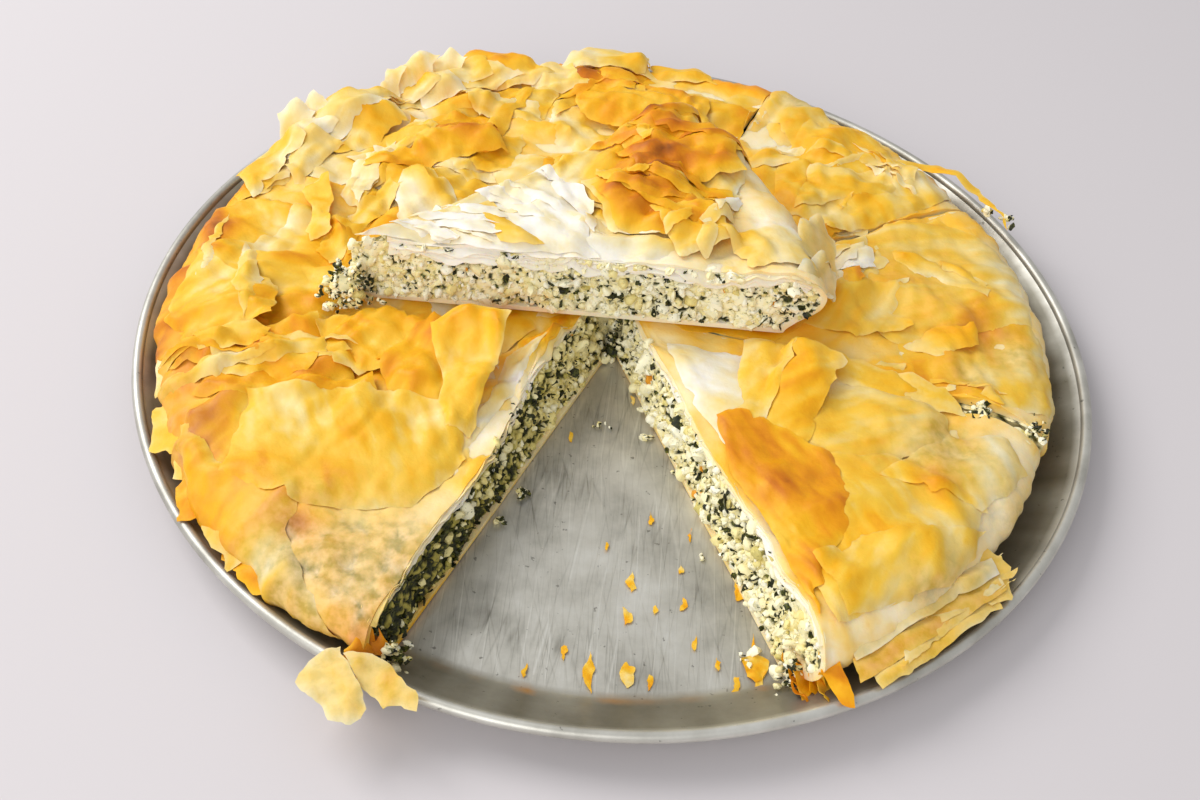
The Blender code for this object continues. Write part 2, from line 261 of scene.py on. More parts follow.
def lumps(x: Grid, y: Grid, size: float, seed: int) -> tuple[Grid, Grid]:
    """Round lumps packed side by side.

    Args:
        x: First coordinate.
        y: Second coordinate.
        size: Distance between lumps.
        seed: Which lumps.

    Returns:
        Height from 0 to 1, and a number from 0 to 1 that names the lump at each place.
    """
    gx, gy = x / size, y / size
    ix, iy = np.floor(gx), np.floor(gy)
    best = np.full(gx.shape, -9.0)
    name = np.zeros(gx.shape)
    for dx in (-1, 0, 1):
        for dy in (-1, 0, 1):
            cx, cy = ix + dx, iy + dy
            ox = gx - cx - hashed(cx, cy, seed)
            oy = gy - cy - hashed(cx, cy, seed + 1)
            reach = 0.55 + 0.45 * hashed(cx, cy, seed + 2)
            height = reach * (1.0 - (ox * ox + oy * oy) / (reach * reach))
            closer = height > best
            best = np.where(closer, height, best)
            name = np.where(closer, hashed(cx, cy, seed + 5), name)
    return np.sqrt(np.clip(best, 0.0, 1.0)), name


def ease(low: float, high: float, value: Grid) -> Grid:
    """Smooth step from 0 at low to 1 at high."""
    share = np.clip((value - low) / (high - low), 0.0, 1.0)
    return share * share * (3.0 - 2.0 * share)


def facing_out(points: Grid, faces: Grid) -> Grid:
    """Turn the faces of a closed surface so that they face outwards.

    Args:
        points: Vertex positions.
        faces: Triangles or quads.

    Returns:
        The faces, turned over where the volume they enclose came out negative.
    """
    middle = points - points.mean(axis=0)
    first = middle[faces[:, 0]]
    volume = 0.0
    for k in range(1, faces.shape[1] - 1):
        volume += float((first * np.cross(middle[faces[:, k]], middle[faces[:, k + 1]])).sum())
    return faces if volume > 0.0 else faces[:, ::-1]


def link_object(name: str, data: bpy.types.ID) -> bpy.types.Object:
    """Make an object of some data and link it to the scene.

    Args:
        name: The object's name.
        data: Its mesh, light or camera.

    Returns:
        The new object.
    """
    thing = bpy.data.objects.new(name, data)
    bpy.context.scene.collection.objects.link(thing)
    return thing


def mesh_object(name: str, points: Grid, faces: Grid, marks: dict[str, Grid] | None = None
                ) -> bpy.types.Object:
    """Make an object from points in millimetres and faces of one size.

    Args:
        name: The piece's name.
        points: Vertex positions, shaped (count, 3).
        faces: Vertex numbers, shaped (count, 3) or (count, 4).
        marks: Per-vertex values, by attribute name.

    Returns:
        The new object, smooth shaded but for its sharp edges, and linked to the scene.
    """
    data = bpy.data.meshes.new(name)
    sides = faces.shape[1]
    data.vertices.add(len(points))
    data.vertices.foreach_set("co", (np.asarray(points) * MM).astype(np.float32).ravel())
    data.loops.add(faces.size)
    data.loops.foreach_set("vertex_index", faces.astype(np.int32).ravel())
    data.polygons.add(len(faces))
    data.polygons.foreach_set("loop_start", np.arange(0, faces.size, sides, dtype=np.int32))
    data.update(calc_edges=True)
    for key, value in (marks or {}).items():
        attribute = data.attributes.new(key, "FLOAT", "POINT")
        attribute.data.foreach_set("value", np.asarray(value, np.float32).ravel())
    data.validate()
    data.shade_smooth()
    data.set_sharp_from_angle(angle=math.radians(SHARP_ANGLE))
    return link_object(name, data)


def block_side(axis: int, end: int) -> tuple:
    """Index of one side of a block of points."""
    return tuple(end if k == axis else slice(None) for k in range(3))


def solid_from_lattice(name: str, lattice: Grid, marks: dict[str, Grid] | None = None) -> bpy.types.Object:
    """Make a closed mesh from the outside of a block of points.

    Args:
        name: The piece's name.
        lattice: Points in mm, shaped (along, across, through, 3).
        marks: Values for each point, shaped as the lattice without its last axis.

    Returns:
        The new object.
    """
    counts = lattice.shape[:3]
    shell = np.zeros(counts, bool)
    for axis in range(3):
        for end in (0, -1):
            shell[block_side(axis, end)] = True
    index = np.full(counts, -1, np.int64)
    index[shell] = np.arange(int(shell.sum()))
    quads = []
    for axis in range(3):
        for end in (0, -1):
            layer = index[block_side(axis, end)]
            corners = [layer[:-1, :-1], layer[1:, :-1], layer[1:, 1:], layer[:-1, 1:]]
            if (end == 0) == (axis != 1):
                corners = corners[::-1]
            quads.append(np.stack([corner.ravel() for corner in corners], 1))
    points = lattice[shell]
    return mesh_object(name, points, facing_out(points, np.concatenate(quads)),
                       {key: value[shell] for key, value in (marks or {}).items()})


def grid_faces(rows: int, columns: int) -> tuple[Grid, int]:
    """Triangles of a grid of points, and how many points it has.

    Args:
        rows: Points along its first side.
        columns: Points along its second side.

    Returns:
        The triangles and the count.
    """
    index = np.arange(rows * columns).reshape(rows, columns)
    a, b, c, d = index[:-1, :-1], index[1:, :-1], index[1:, 1:], index[:-1, 1:]
    first = np.stack([a.ravel(), b.ravel(), c.ravel()], 1)
    second = np.stack([a.ravel(), c.ravel(), d.ravel()], 1)
    return np.concatenate([first, second]), rows * columns


def close_faces(faces: Grid, count: int) -> Grid:
    """Triangles of a thin closed sheet, whose lower points follow its upper ones.

    Args:
        faces: Triangles of the upper side.
        count: Points in the upper side.

    Returns:
        Upper, lower and edge triangles.
    """
    edges = np.concatenate([faces[:, (0, 1)], faces[:, (1, 2)], faces[:, (2, 0)]])
    keys = edges[:, 0] * count + edges[:, 1]
    rim = edges[~np.isin(keys, edges[:, 1] * count + edges[:, 0])]
    a, b = rim[:, 0], rim[:, 1]
    return np.concatenate([faces, faces[:, ::-1] + count, np.stack([b, a, a + count], 1),
                           np.stack([b, a + count, b + count], 1)])


def adopt(piece: bpy.types.Object, finish: bpy.types.Material, slot: str, *nodes: str) -> None:
    """Give a piece its finish and its body, and hide the solids that it stands for.

    Args:
        piece: The new piece.
        finish: Its material.
        slot: Not used.
        nodes: The solids that the piece stands for.
    """
    piece.data.materials.append(finish)
    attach(piece, BODY)
    if nodes:
        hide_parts(*nodes)
    LOG.info("%s: %d triangles", piece.name, sum(len(face.vertices) - 2 for face in piece.data.polygons))


@dataclass
class Bundle:
    """Triangles of many like pieces that become one mesh."""

    name: str
    points: list[Grid] = field(default_factory=list)
    faces: list[Grid] = field(default_factory=list)
    marks: dict[str, list[Grid]] = field(default_factory=dict)
    count: int = 0

    def add(self, points: Grid, faces: Grid, marks: dict[str, Grid]) -> None:
        """Add one closed piece.

        Args:
            points: Its vertex positions in mm.
            faces: Its triangles.
            marks: Its per-vertex values.
        """
        self.points.append(points)
        self.faces.append(facing_out(points, faces) + self.count)
        self.count += len(points)
        for key, value in marks.items():
            self.marks.setdefault(key, []).append(np.asarray(value).ravel())

    def add_sheet(self, upper: Grid, lower: Grid, faces: Grid, bake: Grid, show: Grid | float = 0.0) -> None:
        """Add one thin closed sheet of pastry.

        Args:
            upper: Vertex positions of its upper side in mm.
            lower: The same vertices on its lower side.
            faces: Triangles of the upper side.
            bake: How far it baked, at each vertex of one side.
            show: How far it shows what lies under it, likewise.
        """
        count = len(upper)
        self.add(np.concatenate([upper, lower]), close_faces(faces, count),
                 {"bake": np.tile(bake, 2), "show": np.tile(np.broadcast_to(show, count), 2)})

    def make(self) -> bpy.types.Object:
        """Join what was added into one object."""
        marks = {key: np.concatenate(values) for key, values in self.marks.items()}
        return mesh_object(self.name, np.concatenate(self.points), np.concatenate(self.faces), marks)


@dataclass(frozen=True)
class BakedPhyllo:
    """Thin wheat pastry sheets, brushed with butter and baked.

    Where a sheet stood clear it dried to gold and amber. Where it lay on the damp filling it stayed pale
    and a little see-through, so the green below greys it. The surface has the soft shine of butter.
    """

    name: str = "baked_phyllo"
    patch_mm: float = 16.0
    freckle_mm: float = 4.0
    crease_mm: float = 9.0
    # The real grain is finer, and is drawn as coarse as it needs to be to show
    grain_mm: float = 1.1
    stops: Stops = (
        (0.0, "#FCF2DF"), (0.16, "#F8E3B2"), (0.32, "#F6D07A"), (0.46, "#F7BF3C"), (0.6, "#F7AF16"),
        (0.74, "#EC9606"), (0.88, "#CF7208"), (1.0, "#8F4C12"))
    under_stops: Stops = ((0.36, "#7A7A4E"), (0.5, "#BCA97C"), (0.64, "#DDC59C"))

    def material(self) -> bpy.types.Material:
        """Build the pastry's material from its bake and show marks.

        Returns:
            The material.
        """
        material, tree, shader = new_material(self.name, {
            "IOR": 1.45, "Specular IOR Level": 0.32, "Subsurface Weight": 0.22,
            "Subsurface Radius": (1.0, 0.6, 0.22), "Subsurface Scale": 0.0016})
        place = add_node(tree, "TexCoord").outputs["Object"]
        bake = add_node(tree, "Attribute", {"attribute_name": "bake"}).outputs["Fac"]
        show = add_node(tree, "Attribute", {"attribute_name": "show"}).outputs["Fac"]
        patch = add_node(tree, "TexNoise", {"Scale": 1000.0 / self.patch_mm, "Detail": 4.0,
                                            "Roughness": 0.55}, {"Vector": place}).outputs["Fac"]
        spread = add_node(tree, "MapRange", {1: 0.3, 2: 0.7, 3: -0.065, 4: 0.065}, {0: patch}).outputs[0]
        crease = add_node(tree, "TexNoise", {"noise_type": "RIDGED_MULTIFRACTAL", "Detail": 3.0,
                                             "Scale": 1000.0 / self.crease_mm, "Distortion": 0.6},
                          {"Vector": place}).outputs["Fac"]
        lines = add_node(tree, "MapRange", {1: 0.2, 2: 1.0, 3: -0.01, 4: 0.1}, {0: crease}).outputs[0]
        mottled = add_node(tree, "Math", {"operation": "ADD"}, {0: spread, 1: lines}).outputs[0]
        baked = add_node(tree, "Math", {"operation": "ADD"}, {0: bake, 1: mottled}).outputs[0]
        gold = add_node(tree, "ValToRGB", {"stops": self.stops}, {0: baked}).outputs[0]
        freckle = add_node(tree, "TexNoise", {"Scale": 1000.0 / self.freckle_mm, "Detail": 5.0},
                           {"Vector": place}).outputs["Fac"]
        under = add_node(tree, "ValToRGB", {"stops": self.under_stops}, {0: freckle}).outputs[0]
        colour = add_node(tree, "Mix", {"data_type": "RGBA"}, {0: show, 6: gold, 7: under}).outputs[2]
        tree.links.new(colour, shader.inputs["Base Color"])
        grain = add_node(tree, "TexNoise", {"Scale": 1000.0 / self.grain_mm, "Detail": 3.0},
                         {"Vector": place}).outputs["Fac"]
        fine = add_node(tree, "Math", {"operation": "MULTIPLY_ADD", 1: 0.25},
                        {0: grain, 2: freckle}).outputs[0]
        both = add_node(tree, "Math", {"operation": "MULTIPLY_ADD", 1: 0.9}, {0: crease, 2: fine}).outputs[0]
        bump = add_node(tree, "Bump", {"Strength": 0.42, "Distance": 0.0007}, {"Height": both}).outputs[0]
        tree.links.new(bump, shader.inputs["Normal"])
        shine = add_node(tree, "MapRange", {1: 0.3, 2: 0.7, 3: 0.4, 4: 0.6}, {0: patch}).outputs[0]
        tree.links.new(shine, shader.inputs["Roughness"])
        return material


@dataclass(frozen=True)
class CurdFilling:
    """Crumbled white cheese bound with egg, with chopped cooked spinach through it.

    The cheese is damp and scatters light, and the leaves are almost black green.
    """

    name: str = "cheese_and_spinach"
    speck_mm: float = 1.8
    roughness: float = 0.48
    curd_stops: Stops = (
        (0.0, "#FFFADF"), (0.3, "#FBF0BE"), (0.6, "#F0DF92"), (0.9, "#B5A850"), (1.0, "#E39A2C"))
    leaf_stops: Stops = ((0.35, "#11120A"), (0.52, "#2B2F0E"), (0.68, "#6C6E2A"))

    def material(self) -> bpy.types.Material:
        """Build the filling's material from its green and tone marks.

        Returns:
            The material.
        """
        material, tree, shader = new_material(self.name, {
            "Roughness": self.roughness, "IOR": 1.4, "Subsurface Weight": 0.12,
            "Subsurface Radius": (1.0, 0.9, 0.6), "Subsurface Scale": 0.0012})
        place = add_node(tree, "TexCoord").outputs["Object"]
        green = add_node(tree, "Attribute", {"attribute_name": "green"}).outputs["Fac"]
        tone = add_node(tree, "Attribute", {"attribute_name": "tone"}).outputs["Fac"]
        speck = add_node(tree, "TexNoise", {"Scale": 1000.0 / self.speck_mm, "Detail": 4.0,
                                            "Roughness": 0.65}, {"Vector": place}).outputs["Fac"]
        curd = add_node(tree, "ValToRGB", {"stops": self.curd_stops}, {0: tone}).outputs[0]
        leaf = add_node(tree, "ValToRGB", {"stops": self.leaf_stops}, {0: speck}).outputs[0]
        fleck = add_node(tree, "MapRange", {1: 0.58, 2: 0.66, 3: 0.0, 4: 0.55}, {0: speck}).outputs[0]
        mixed = add_node(tree, "Math", {"operation": "MAXIMUM"}, {0: green, 1: fleck}).outputs[0]
        colour = add_node(tree, "Mix", {"data_type": "RGBA"}, {0: mixed, 6: curd, 7: leaf}).outputs[2]
        tree.links.new(colour, shader.inputs["Base Color"])
        bump = add_node(tree, "Bump", {"Strength": 0.3, "Distance": 0.0005}, {"Height": speck}).outputs[0]
        tree.links.new(bump, shader.inputs["Normal"])
        return material


@dataclass(frozen=True)
class ScratchedAluminium:
    """Plain drawn aluminium, dulled by the oven and scored by years of knives.

    The knife marks are fine bright and dark lines that run roughly away from the cook, with small dark
    pits between them. The dulled skin scatters light, so the metal mirrors only in part. What baked on
    along the foot of the wall is a broken brown line. The wall is painted a darker brown-grey, as painted
    shade and reflected pastry.
    """

    name: str = "drawn_aluminium"
    # Real knife marks are finer and closer, and are drawn as coarse as they need to be to show
    scratch_mm: tuple[float, float] = (3.8, 80.0)
    # Each layer of scratches: its turn in radians, how far apart its lines lie, and how it shades
    layers: tuple[Spot, ...] = (
        (0.02, 0.7, -0.13), (-0.06, 0.9, -0.13), (0.1, 1.2, -0.1), (-0.15, 1.4, -0.1), (0.25, 1.9, -0.08),
        (-0.03, 1.6, 0.15))
    pit_mm: float = 2.4
    cloud_mm: float = 30.0
    stops: Stops = ((0.15, "#7D7A70"), (0.5, "#C3C0B6"), (0.8, "#E6E4DC"))
    # Painted shade and reflected pastry on the tin's wall
    wall_shade_colour: str = "#5E5743"
    pit_colour: str = "#4F4C45"
    stain_colour: str = "#A5701F"

    def material(self) -> bpy.types.Material:
        """Build the tin's material.

        Returns:
            The material.
        """
        material, tree, shader = new_material(self.name)
        place = add_node(tree, "TexCoord").outputs["Object"]
        total = None
        for turn, widen, shade in self.layers:
            scale = (self.scratch_mm[0] * widen * MM, self.scratch_mm[1] * MM, 1.0)
            mapping = add_node(tree, "Mapping", {"vector_type": "TEXTURE", "Rotation": (0.0, 0.0, turn),
                                                 "Scale": scale}, {"Vector": place}).outputs[0]
            away = add_node(tree, "TexVoronoi", {"feature": "DISTANCE_TO_EDGE", "voronoi_dimensions": "2D",
                                                 "Scale": 1.0}, {"Vector": mapping}).outputs["Distance"]
            patchy = add_node(tree, "TexNoise", {"Scale": 1.4, "Detail": 2.0},
                              {"Vector": mapping}).outputs["Fac"]
            depth = add_node(tree, "MapRange", {1: 0.42, 2: 0.62, 3: 0.0, 4: shade}, {0: patchy}).outputs[0]
            line = add_node(tree, "MapRange", {1: 0.0, 2: 0.05, 4: 0.0}, {0: away, 3: depth}).outputs[0]
            total = line if total is None else add_node(tree, "Math", {"operation": "ADD"},
                                                        {0: total, 1: line}).outputs[0]
        worn = add_node(tree, "Attribute", {"attribute_name": "worn"}).outputs["Fac"]
        scored = add_node(tree, "Math", {"operation": "MULTIPLY"}, {0: total, 1: worn}).outputs[0]
        cloud = add_node(tree, "TexNoise", {"Scale": 1000.0 / self.cloud_mm, "Detail": 6.0, "Roughness": 0.6},
                         {"Vector": place}).outputs["Fac"]
        tones = add_node(tree, "Math", {"operation": "ADD"}, {0: cloud, 1: scored}).outputs[0]
        bright = add_node(tree, "ValToRGB", {"stops": self.stops}, {0: tones}).outputs[0]
        # The wall is painted darker, as painted shade and reflected pastry
        grime = add_node(tree, "Attribute", {"attribute_name": "grime"}).outputs["Fac"]
        metal = add_node(tree, "Mix", {"data_type": "RGBA", 7: linear(self.wall_shade_colour)},
                         {0: grime, 6: bright}).outputs[2]
        pit = add_node(tree, "TexNoise", {"Scale": 1000.0 / self.pit_mm, "Detail": 2.0},
                       {"Vector": place}).outputs["Fac"]
        pitted = add_node(tree, "MapRange", {1: 0.7, 2: 0.75, 3: 0.0, 4: 0.6}, {0: pit}).outputs[0]
        dark = add_node(tree, "Mix", {"data_type": "RGBA", 7: linear(self.pit_colour)},
                        {0: pitted, 6: metal}).outputs[2]
        stain = add_node(tree, "Attribute", {"attribute_name": "stain"}).outputs["Fac"]
        colour = add_node(tree, "Mix", {"data_type": "RGBA", 7: linear(self.stain_colour)},
                          {0: stain, 6: dark}).outputs[2]
        tree.links.new(colour, shader.inputs["Base Color"])
        bare = add_node(tree, "Math", {"operation": "MULTIPLY_ADD", 1: -0.7, 2: 0.7}, {0: stain}).outputs[0]
        tree.links.new(bare, shader.inputs["Metallic"])
        rough = add_node(tree, "MapRange", {1: 0.3, 2: 0.8, 3: 0.5, 4: 0.34}, {0: tones}).outputs[0]
        tree.links.new(rough, shader.inputs["Roughness"])
        bump = add_node(tree, "Bump", {"Strength": 0.25, "Distance": 0.0002}, {"Height": scored}).outputs[0]
        tree.links.new(bump, shader.inputs["Normal"])
        return material


@dataclass(frozen=True)
class StudioPaper:
    """A plain pale matt floor."""

    name: str = "pale_paper"
    colour: str = "#CFC9CA"

    def material(self) -> bpy.types.Material:
        """Build the floor's material."""
        return new_material(self.name, {"Base Color": linear(self.colour), "Roughness": 0.85})[0]


@dataclass(frozen=True)
class EdgeCurve:
    """The pie's outer edge, as run over by a sheet from the flat top down round the side to the foot.

    Offsets are from the pie's outer radius, and heights are over the tin's underside.
    """

    knots: tuple[tuple[float, float], ...] = (
        (-14.0, 29.0), (-6.0, 26.4), (-1.2, 22.0), (0.0, 18.0), (-3.0, 12.0), (-12.0, 4.0), (-16.0, 1.6))
    before: tuple[float, float] = (-22.0, 29.0)
    after: tuple[float, float] = (-40.0, 1.6)
    samples: int = 12

    def traced(self) -> tuple[Grid, Grid, Grid]:
        """Smooth the knots into one curve.

        Returns:
            Run from the shoulder, points as offset and height, and outward normals.
        """
        knots = np.array(self.knots)
        padded = np.vstack([self.before, knots, self.after])
        pieces = []
        for k in range(1, len(knots)):
            t = np.linspace(0.0, 1.0, self.samples, endpoint=(k == len(knots) - 1))[:, None]
            a, b, c, d = padded[k - 1:k + 3]
            pieces.append(0.5 * (2 * b + (c - a) * t + (2 * a - 5 * b + 4 * c - d) * t ** 2
                                 + (3 * b - a - 3 * c + d) * t ** 3))
        points = np.vstack(pieces)
        steps = np.gradient(points, axis=0)
        run = np.concatenate([[0.0], np.cumsum(np.hypot(*np.diff(points, axis=0).T))])
        normals = np.stack([-steps[:, 1], steps[:, 0]], 1)
        normals /= np.linalg.norm(normals, axis=1, keepdims=True)
        return run, points, normals


RUN, EDGE_POINTS, EDGE_NORMALS = EdgeCurve().traced()


def wave(x: Grid, y: Grid) -> Grid:
    """The slow rise and fall of the top sheets, the same as in the solids."""
    values = [noise.noise((a, b, 0.0)) for a, b in zip(np.ravel(x) / WAVE_LENGTH, np.ravel(y) / WAVE_LENGTH)]
    return WAVE_HEIGHT * np.reshape(values, np.shape(x))


def fold_lift(x: Grid, y: Grid) -> Grid:
    """How far the highest long fold lifts the top sheet, as in the solids.

    Args:
        x: First plan coordinate.
        y: Second plan coordinate.

    Returns:
        The lift in mm.
    """
    lift = np.zeros(np.shape(x))
    for start, end, height, width in FOLDS:
        ax, ay = end[0] - start[0], end[1] - start[1]
        share = np.clip(((x - start[0]) * ax + (y - start[1]) * ay) / (ax * ax + ay * ay), 0.0, 1.0)
        away = np.hypot(x - start[0] - share * ax, y - start[1] - share * ay) / width
        rise = height * np.sin(math.pi * (0.15 + 0.7 * share)) * np.clip(1.0 - away, 0.0, 1.0)
        lift = np.maximum(lift, rise)
    return lift


def under_lifted(x: Grid, y: Grid) -> Grid:
    """1 where the lifted wedge lies on the pie, falling to 0 across a margin outside it.

    Args:
        x: First plan coordinate.
        y: Second plan coordinate.

    Returns:
        The share at each place.
    """
    dx, dy = x - LIFTED_POINT[0], y - LIFTED_POINT[1]
    radius = np.hypot(dx, dy)
    angle = np.degrees(np.arctan2(dy, dx))
    outside = np.maximum(np.maximum(LIFTED_ANGLES[0] - angle, angle - LIFTED_ANGLES[1]), 0.0)
    outside = np.radians(outside) * np.maximum(radius, 1.0)
    outside = np.maximum(outside, radius - max(LIFTED_RADII))
    return np.clip(1.0 - outside / PRESS_MARGIN, 0.0, 1.0)


@dataclass(frozen=True)
class Patch:
    """A round area of the crust that differs from the rest."""

    x: float
    y: float
    radius: float
    change: float

    def at(self, x: Grid, y: Grid) -> Grid:
        """The patch's strength at each place."""
        return self.change * np.exp(-((x - self.x) ** 2 + (y - self.y) ** 2) / self.radius ** 2)


def patched(patches: tuple[Patch, ...], x: Grid, y: Grid) -> Grid:
    """The strength of several patches together."""
    return sum((patch.at(x, y) for patch in patches), np.zeros(np.shape(x)))


@dataclass(frozen=True)
class SliceForm:
    """Where one slice lies, how far it reaches and how it baked.

    Sheet coordinates are plan positions with the crust rolled out flat: up to the shoulder they are the
    plan itself, and past it they run on down the side. Angles are in degrees anticlockwise from +X. Bare
    is how much of its point the crust leaves bare. A slant gives how far a cut leans back at distances
    from the point, and hang how far the sheets droop over an open cut. Patches change the bake, show the
    filling or calm the wrinkles.
    """

    name: str
    start: float
    end: float
    radii: tuple[float, float]
    bake: float
    crumple: float
    seed: int
    centre: tuple[float, float] = (0.0, 0.0)
    lift: float = 0.0
    bare: float = 0.0
    open_start: bool = False
    open_end: bool = False
    slant_start: tuple[tuple[float, float], ...] = ()
    slant_end: tuple[tuple[float, float], ...] = ()
    side_bake: float = -0.2
    # Painted shade on the filling's cut faces, drawn as more dark leaf and darker curds; below 0 it lightens
    # a lit face as painted light
    painted_face_shade: float = 0.0
    hang: float = 1.0
    bakes: tuple[Patch, ...] = ()
    shows: tuple[Patch, ...] = ()
    calms: tuple[Patch, ...] = ()

    def polar(self, x: Grid, y: Grid) -> tuple[Grid, Grid, Grid]:
        """Distance from the slice's point, angle in degrees from its start, and share of its angle.

        Args:
            x: First plan coordinate.
            y: Second plan coordinate.

        Returns:
            Distance, angle and share.
        """
        dx, dy = x - self.centre[0], y - self.centre[1]
        angle = (np.degrees(np.arctan2(dy, dx)) - self.start + 90.0) % 360.0 - 90.0
        return np.hypot(dx, dy), angle, np.clip(angle / (self.end - self.start), 0.0, 1.0)

    def radius(self, share: Grid | float) -> Grid | float:
        """Outer radius at a share of the slice's angle."""
        return self.radii[0] + (self.radii[1] - self.radii[0]) * share

    def place(self, run: Grid, share: Grid, aside: Grid | float = 0.0) -> tuple[Grid, Grid]:
        """Sheet coordinates beside the slice's cuts.

        Args:
            run: Distance from the slice's point along the sheet.
            share: Share of the slice's angle.
            aside: Extra distance turned anticlockwise.

        Returns:
            X and Y of each place.
        """
        angle = np.radians(self.start + (self.end - self.start) * share)
        inset = KNIFE_GAP * (0.5 - share) + aside
        return (self.centre[0] + run * np.cos(angle) - inset * np.sin(angle),
                self.centre[1] + run * np.sin(angle) + inset * np.cos(angle))

    def over(self, x: Grid, y: Grid, stand: Grid | float) -> Grid:
        """Lay a place of the rolled-out crust on the pie.

        Args:
            x: First sheet coordinate.
            y: Second sheet coordinate.
            stand: Distance off the crust's smooth surface.

        Returns:
            Points in mm, with a last axis of three.
        """
        run, _, share = self.polar(x, y)
        run = np.maximum(run, 1e-6)
        outer = self.radius(share)
        past = np.clip(run - (outer - SHOULDER), 0.0, RUN[-1])
        beyond = np.maximum(run - (outer - SHOULDER) - RUN[-1], 0.0)
        edge = past > 0.0
        ux, uy = (x - self.centre[0]) / run, (y - self.centre[1]) / run
        flat = np.where(edge, outer - SHOULDER, run)
        px, py = self.centre[0] + flat * ux, self.centre[1] + flat * uy
        rise = wave(px, py) + fold_lift(px, py)
        stand = stand + self.rumple(x, y) * (1.0 - 0.6 * self.side_share(x, y))
        if not self.lift:
            covered = under_lifted(px, py)
            rise = rise + (np.minimum(rise, REST_HEIGHT - PIE_TOP) - rise) * covered
            stand = stand * (1.0 - PRESSED_SHARE * covered)
        height = np.interp(past, RUN, EDGE_POINTS[:, 1])
        across = np.where(edge, np.interp(past, RUN, EDGE_NORMALS[:, 0]), 0.0)
        upward = np.where(edge, np.interp(past, RUN, EDGE_NORMALS[:, 1]), 1.0)
        reach = np.where(edge, outer + np.interp(past, RUN, EDGE_POINTS[:, 0]) - beyond, run) + stand * across
        fade = np.clip((height - STILL_HEIGHT) / (PIE_TOP - STILL_HEIGHT), 0.0, 1.0)
        level = np.maximum(height + rise * fade + stand * upward, PIE_BOTTOM) + self.lift
        points = np.stack([self.centre[0] + reach * ux, self.centre[1] + reach * uy, level], -1)
        return self.slope_cuts(points)

    def slope_cuts(self, points: Grid, filling: bool = False) -> Grid:
        """Lean the cuts back towards the top, where the sheets tore away from the knife.

        Args:
            points: Points in mm, with a last axis of three.
            filling: Whether they are of the filling, which leans at the open cuts alone.

        Returns:
            The points, moved into the slice near its cuts.
        """
        moved = np.array(points, float)
        dx, dy = points[..., 0] - self.centre[0], points[..., 1] - self.centre[1]
        level = np.clip((points[..., 2] - self.lift - PIE_BOTTOM) / (PIE_TOP - PIE_BOTTOM), 0.0, 1.15)
        for angle, turned, knots, cut_open in ((self.start, 1.0, self.slant_start, self.open_start),
                                               (self.end, -1.0, self.slant_end, self.open_end)):
            if not knots or (filling and not cut_open):
                continue
            ax, ay = math.cos(math.radians(angle)), math.sin(math.radians(angle))
            along, inward = dx * ax + dy * ay, turned * (dy * ax - dx * ay)
            swing = np.abs(np.degrees(np.arctan2(inward, along))) / (self.end - self.start)
            fade = np.clip(1.0 - inward / LEAN_DEPTH, 0.0, 1.0) * np.clip(1.0 - swing, 0.0, 1.0)
            shift = turned * fade * level * np.interp(along, *zip(*knots))
            moved[..., 0] -= shift * ay
            moved[..., 1] += shift * ax
        return moved

    def rumple(self, x: Grid, y: Grid) -> Grid:
        """How far the whole pack of sheets is crumpled up or down."""
        big, small = creased(x, y, 30.0, self.seed), creased(x, y, 11.0, self.seed + 20)
        return self.crumple * (1.0 - 0.7 * self.calm(x, y)) * (9.0 * (big - 0.5) + 3.6 * (small - 0.5))

    def calm(self, x: Grid, y: Grid) -> Grid:
        """Where the top sheet stayed smooth and whole, from 0 to 1."""
        return np.clip(patched(self.calms, x, y), 0.0, 1.0)

    def side_share(self, x: Grid, y: Grid) -> Grid:
        """0 on the flat top, rising to 1 on the side."""
        run, _, share = self.polar(x, y)
        return ease(-16.0, 8.0, run - (self.radius(share) - SHOULDER))

    def shown(self, x: Grid, y: Grid) -> Grid:
        """How far the filling shows through the crust."""
        return np.clip(patched(self.shows, x, y), 0.0, 1.0)

    def baked(self, x: Grid, y: Grid) -> Grid:
        """How far the crust baked, from 0 pale to 1 brown, without its fine detail.

        Args:
            x: First sheet coordinate.
            y: Second sheet coordinate.

        Returns:
            The bake at each place.
        """
        side = self.side_share(x, y)
        bake = self.bake + 0.10 * rough_noise(x, y, 34.0, self.seed + 70) + self.side_bake * side
        bake = bake + 0.05 * self.rumple(x, y)
        return bake + patched(self.bakes, x, y)

    def crust(self, x: Grid, y: Grid) -> tuple[Grid, Grid, Grid]:
        """The fine relief and colour of the crust under the loose sheets.

        Args:
            x: First sheet coordinate.
            y: Second sheet coordinate.

        Returns:
            Relief in mm, bake, and how far the filling shows through.
        """
        run, angle, _ = self.polar(x, y)
        side = self.side_share(x, y)
        arc = np.radians(angle) * PLEAT_RADIUS
        tiny = wrinkles(x, y, 4.5, self.seed + 30)
        pleats = wrinkles(arc / 3.4, run / 17.0, 1.6, self.seed + 40)
        show = self.shown(x, y)
        under, _ = lumps(x, y, 6.0, self.seed + 90)
        fine = (tiny - 0.4) * (1.0 - 0.6 * self.calm(x, y))
        relief = 0.5 * fine * (1.0 - side) + 1.9 * show * (under - 0.5) + 1.5 * side * (pleats - 0.45)
        bake = self.baked(x, y) + 0.12 * fine + 0.12 * side * (pleats - 0.4)
        return relief, np.clip(bake, 0.02, 0.98), np.clip(show * (0.55 + 0.7 * (1.0 - under)), 0.0, 0.9)


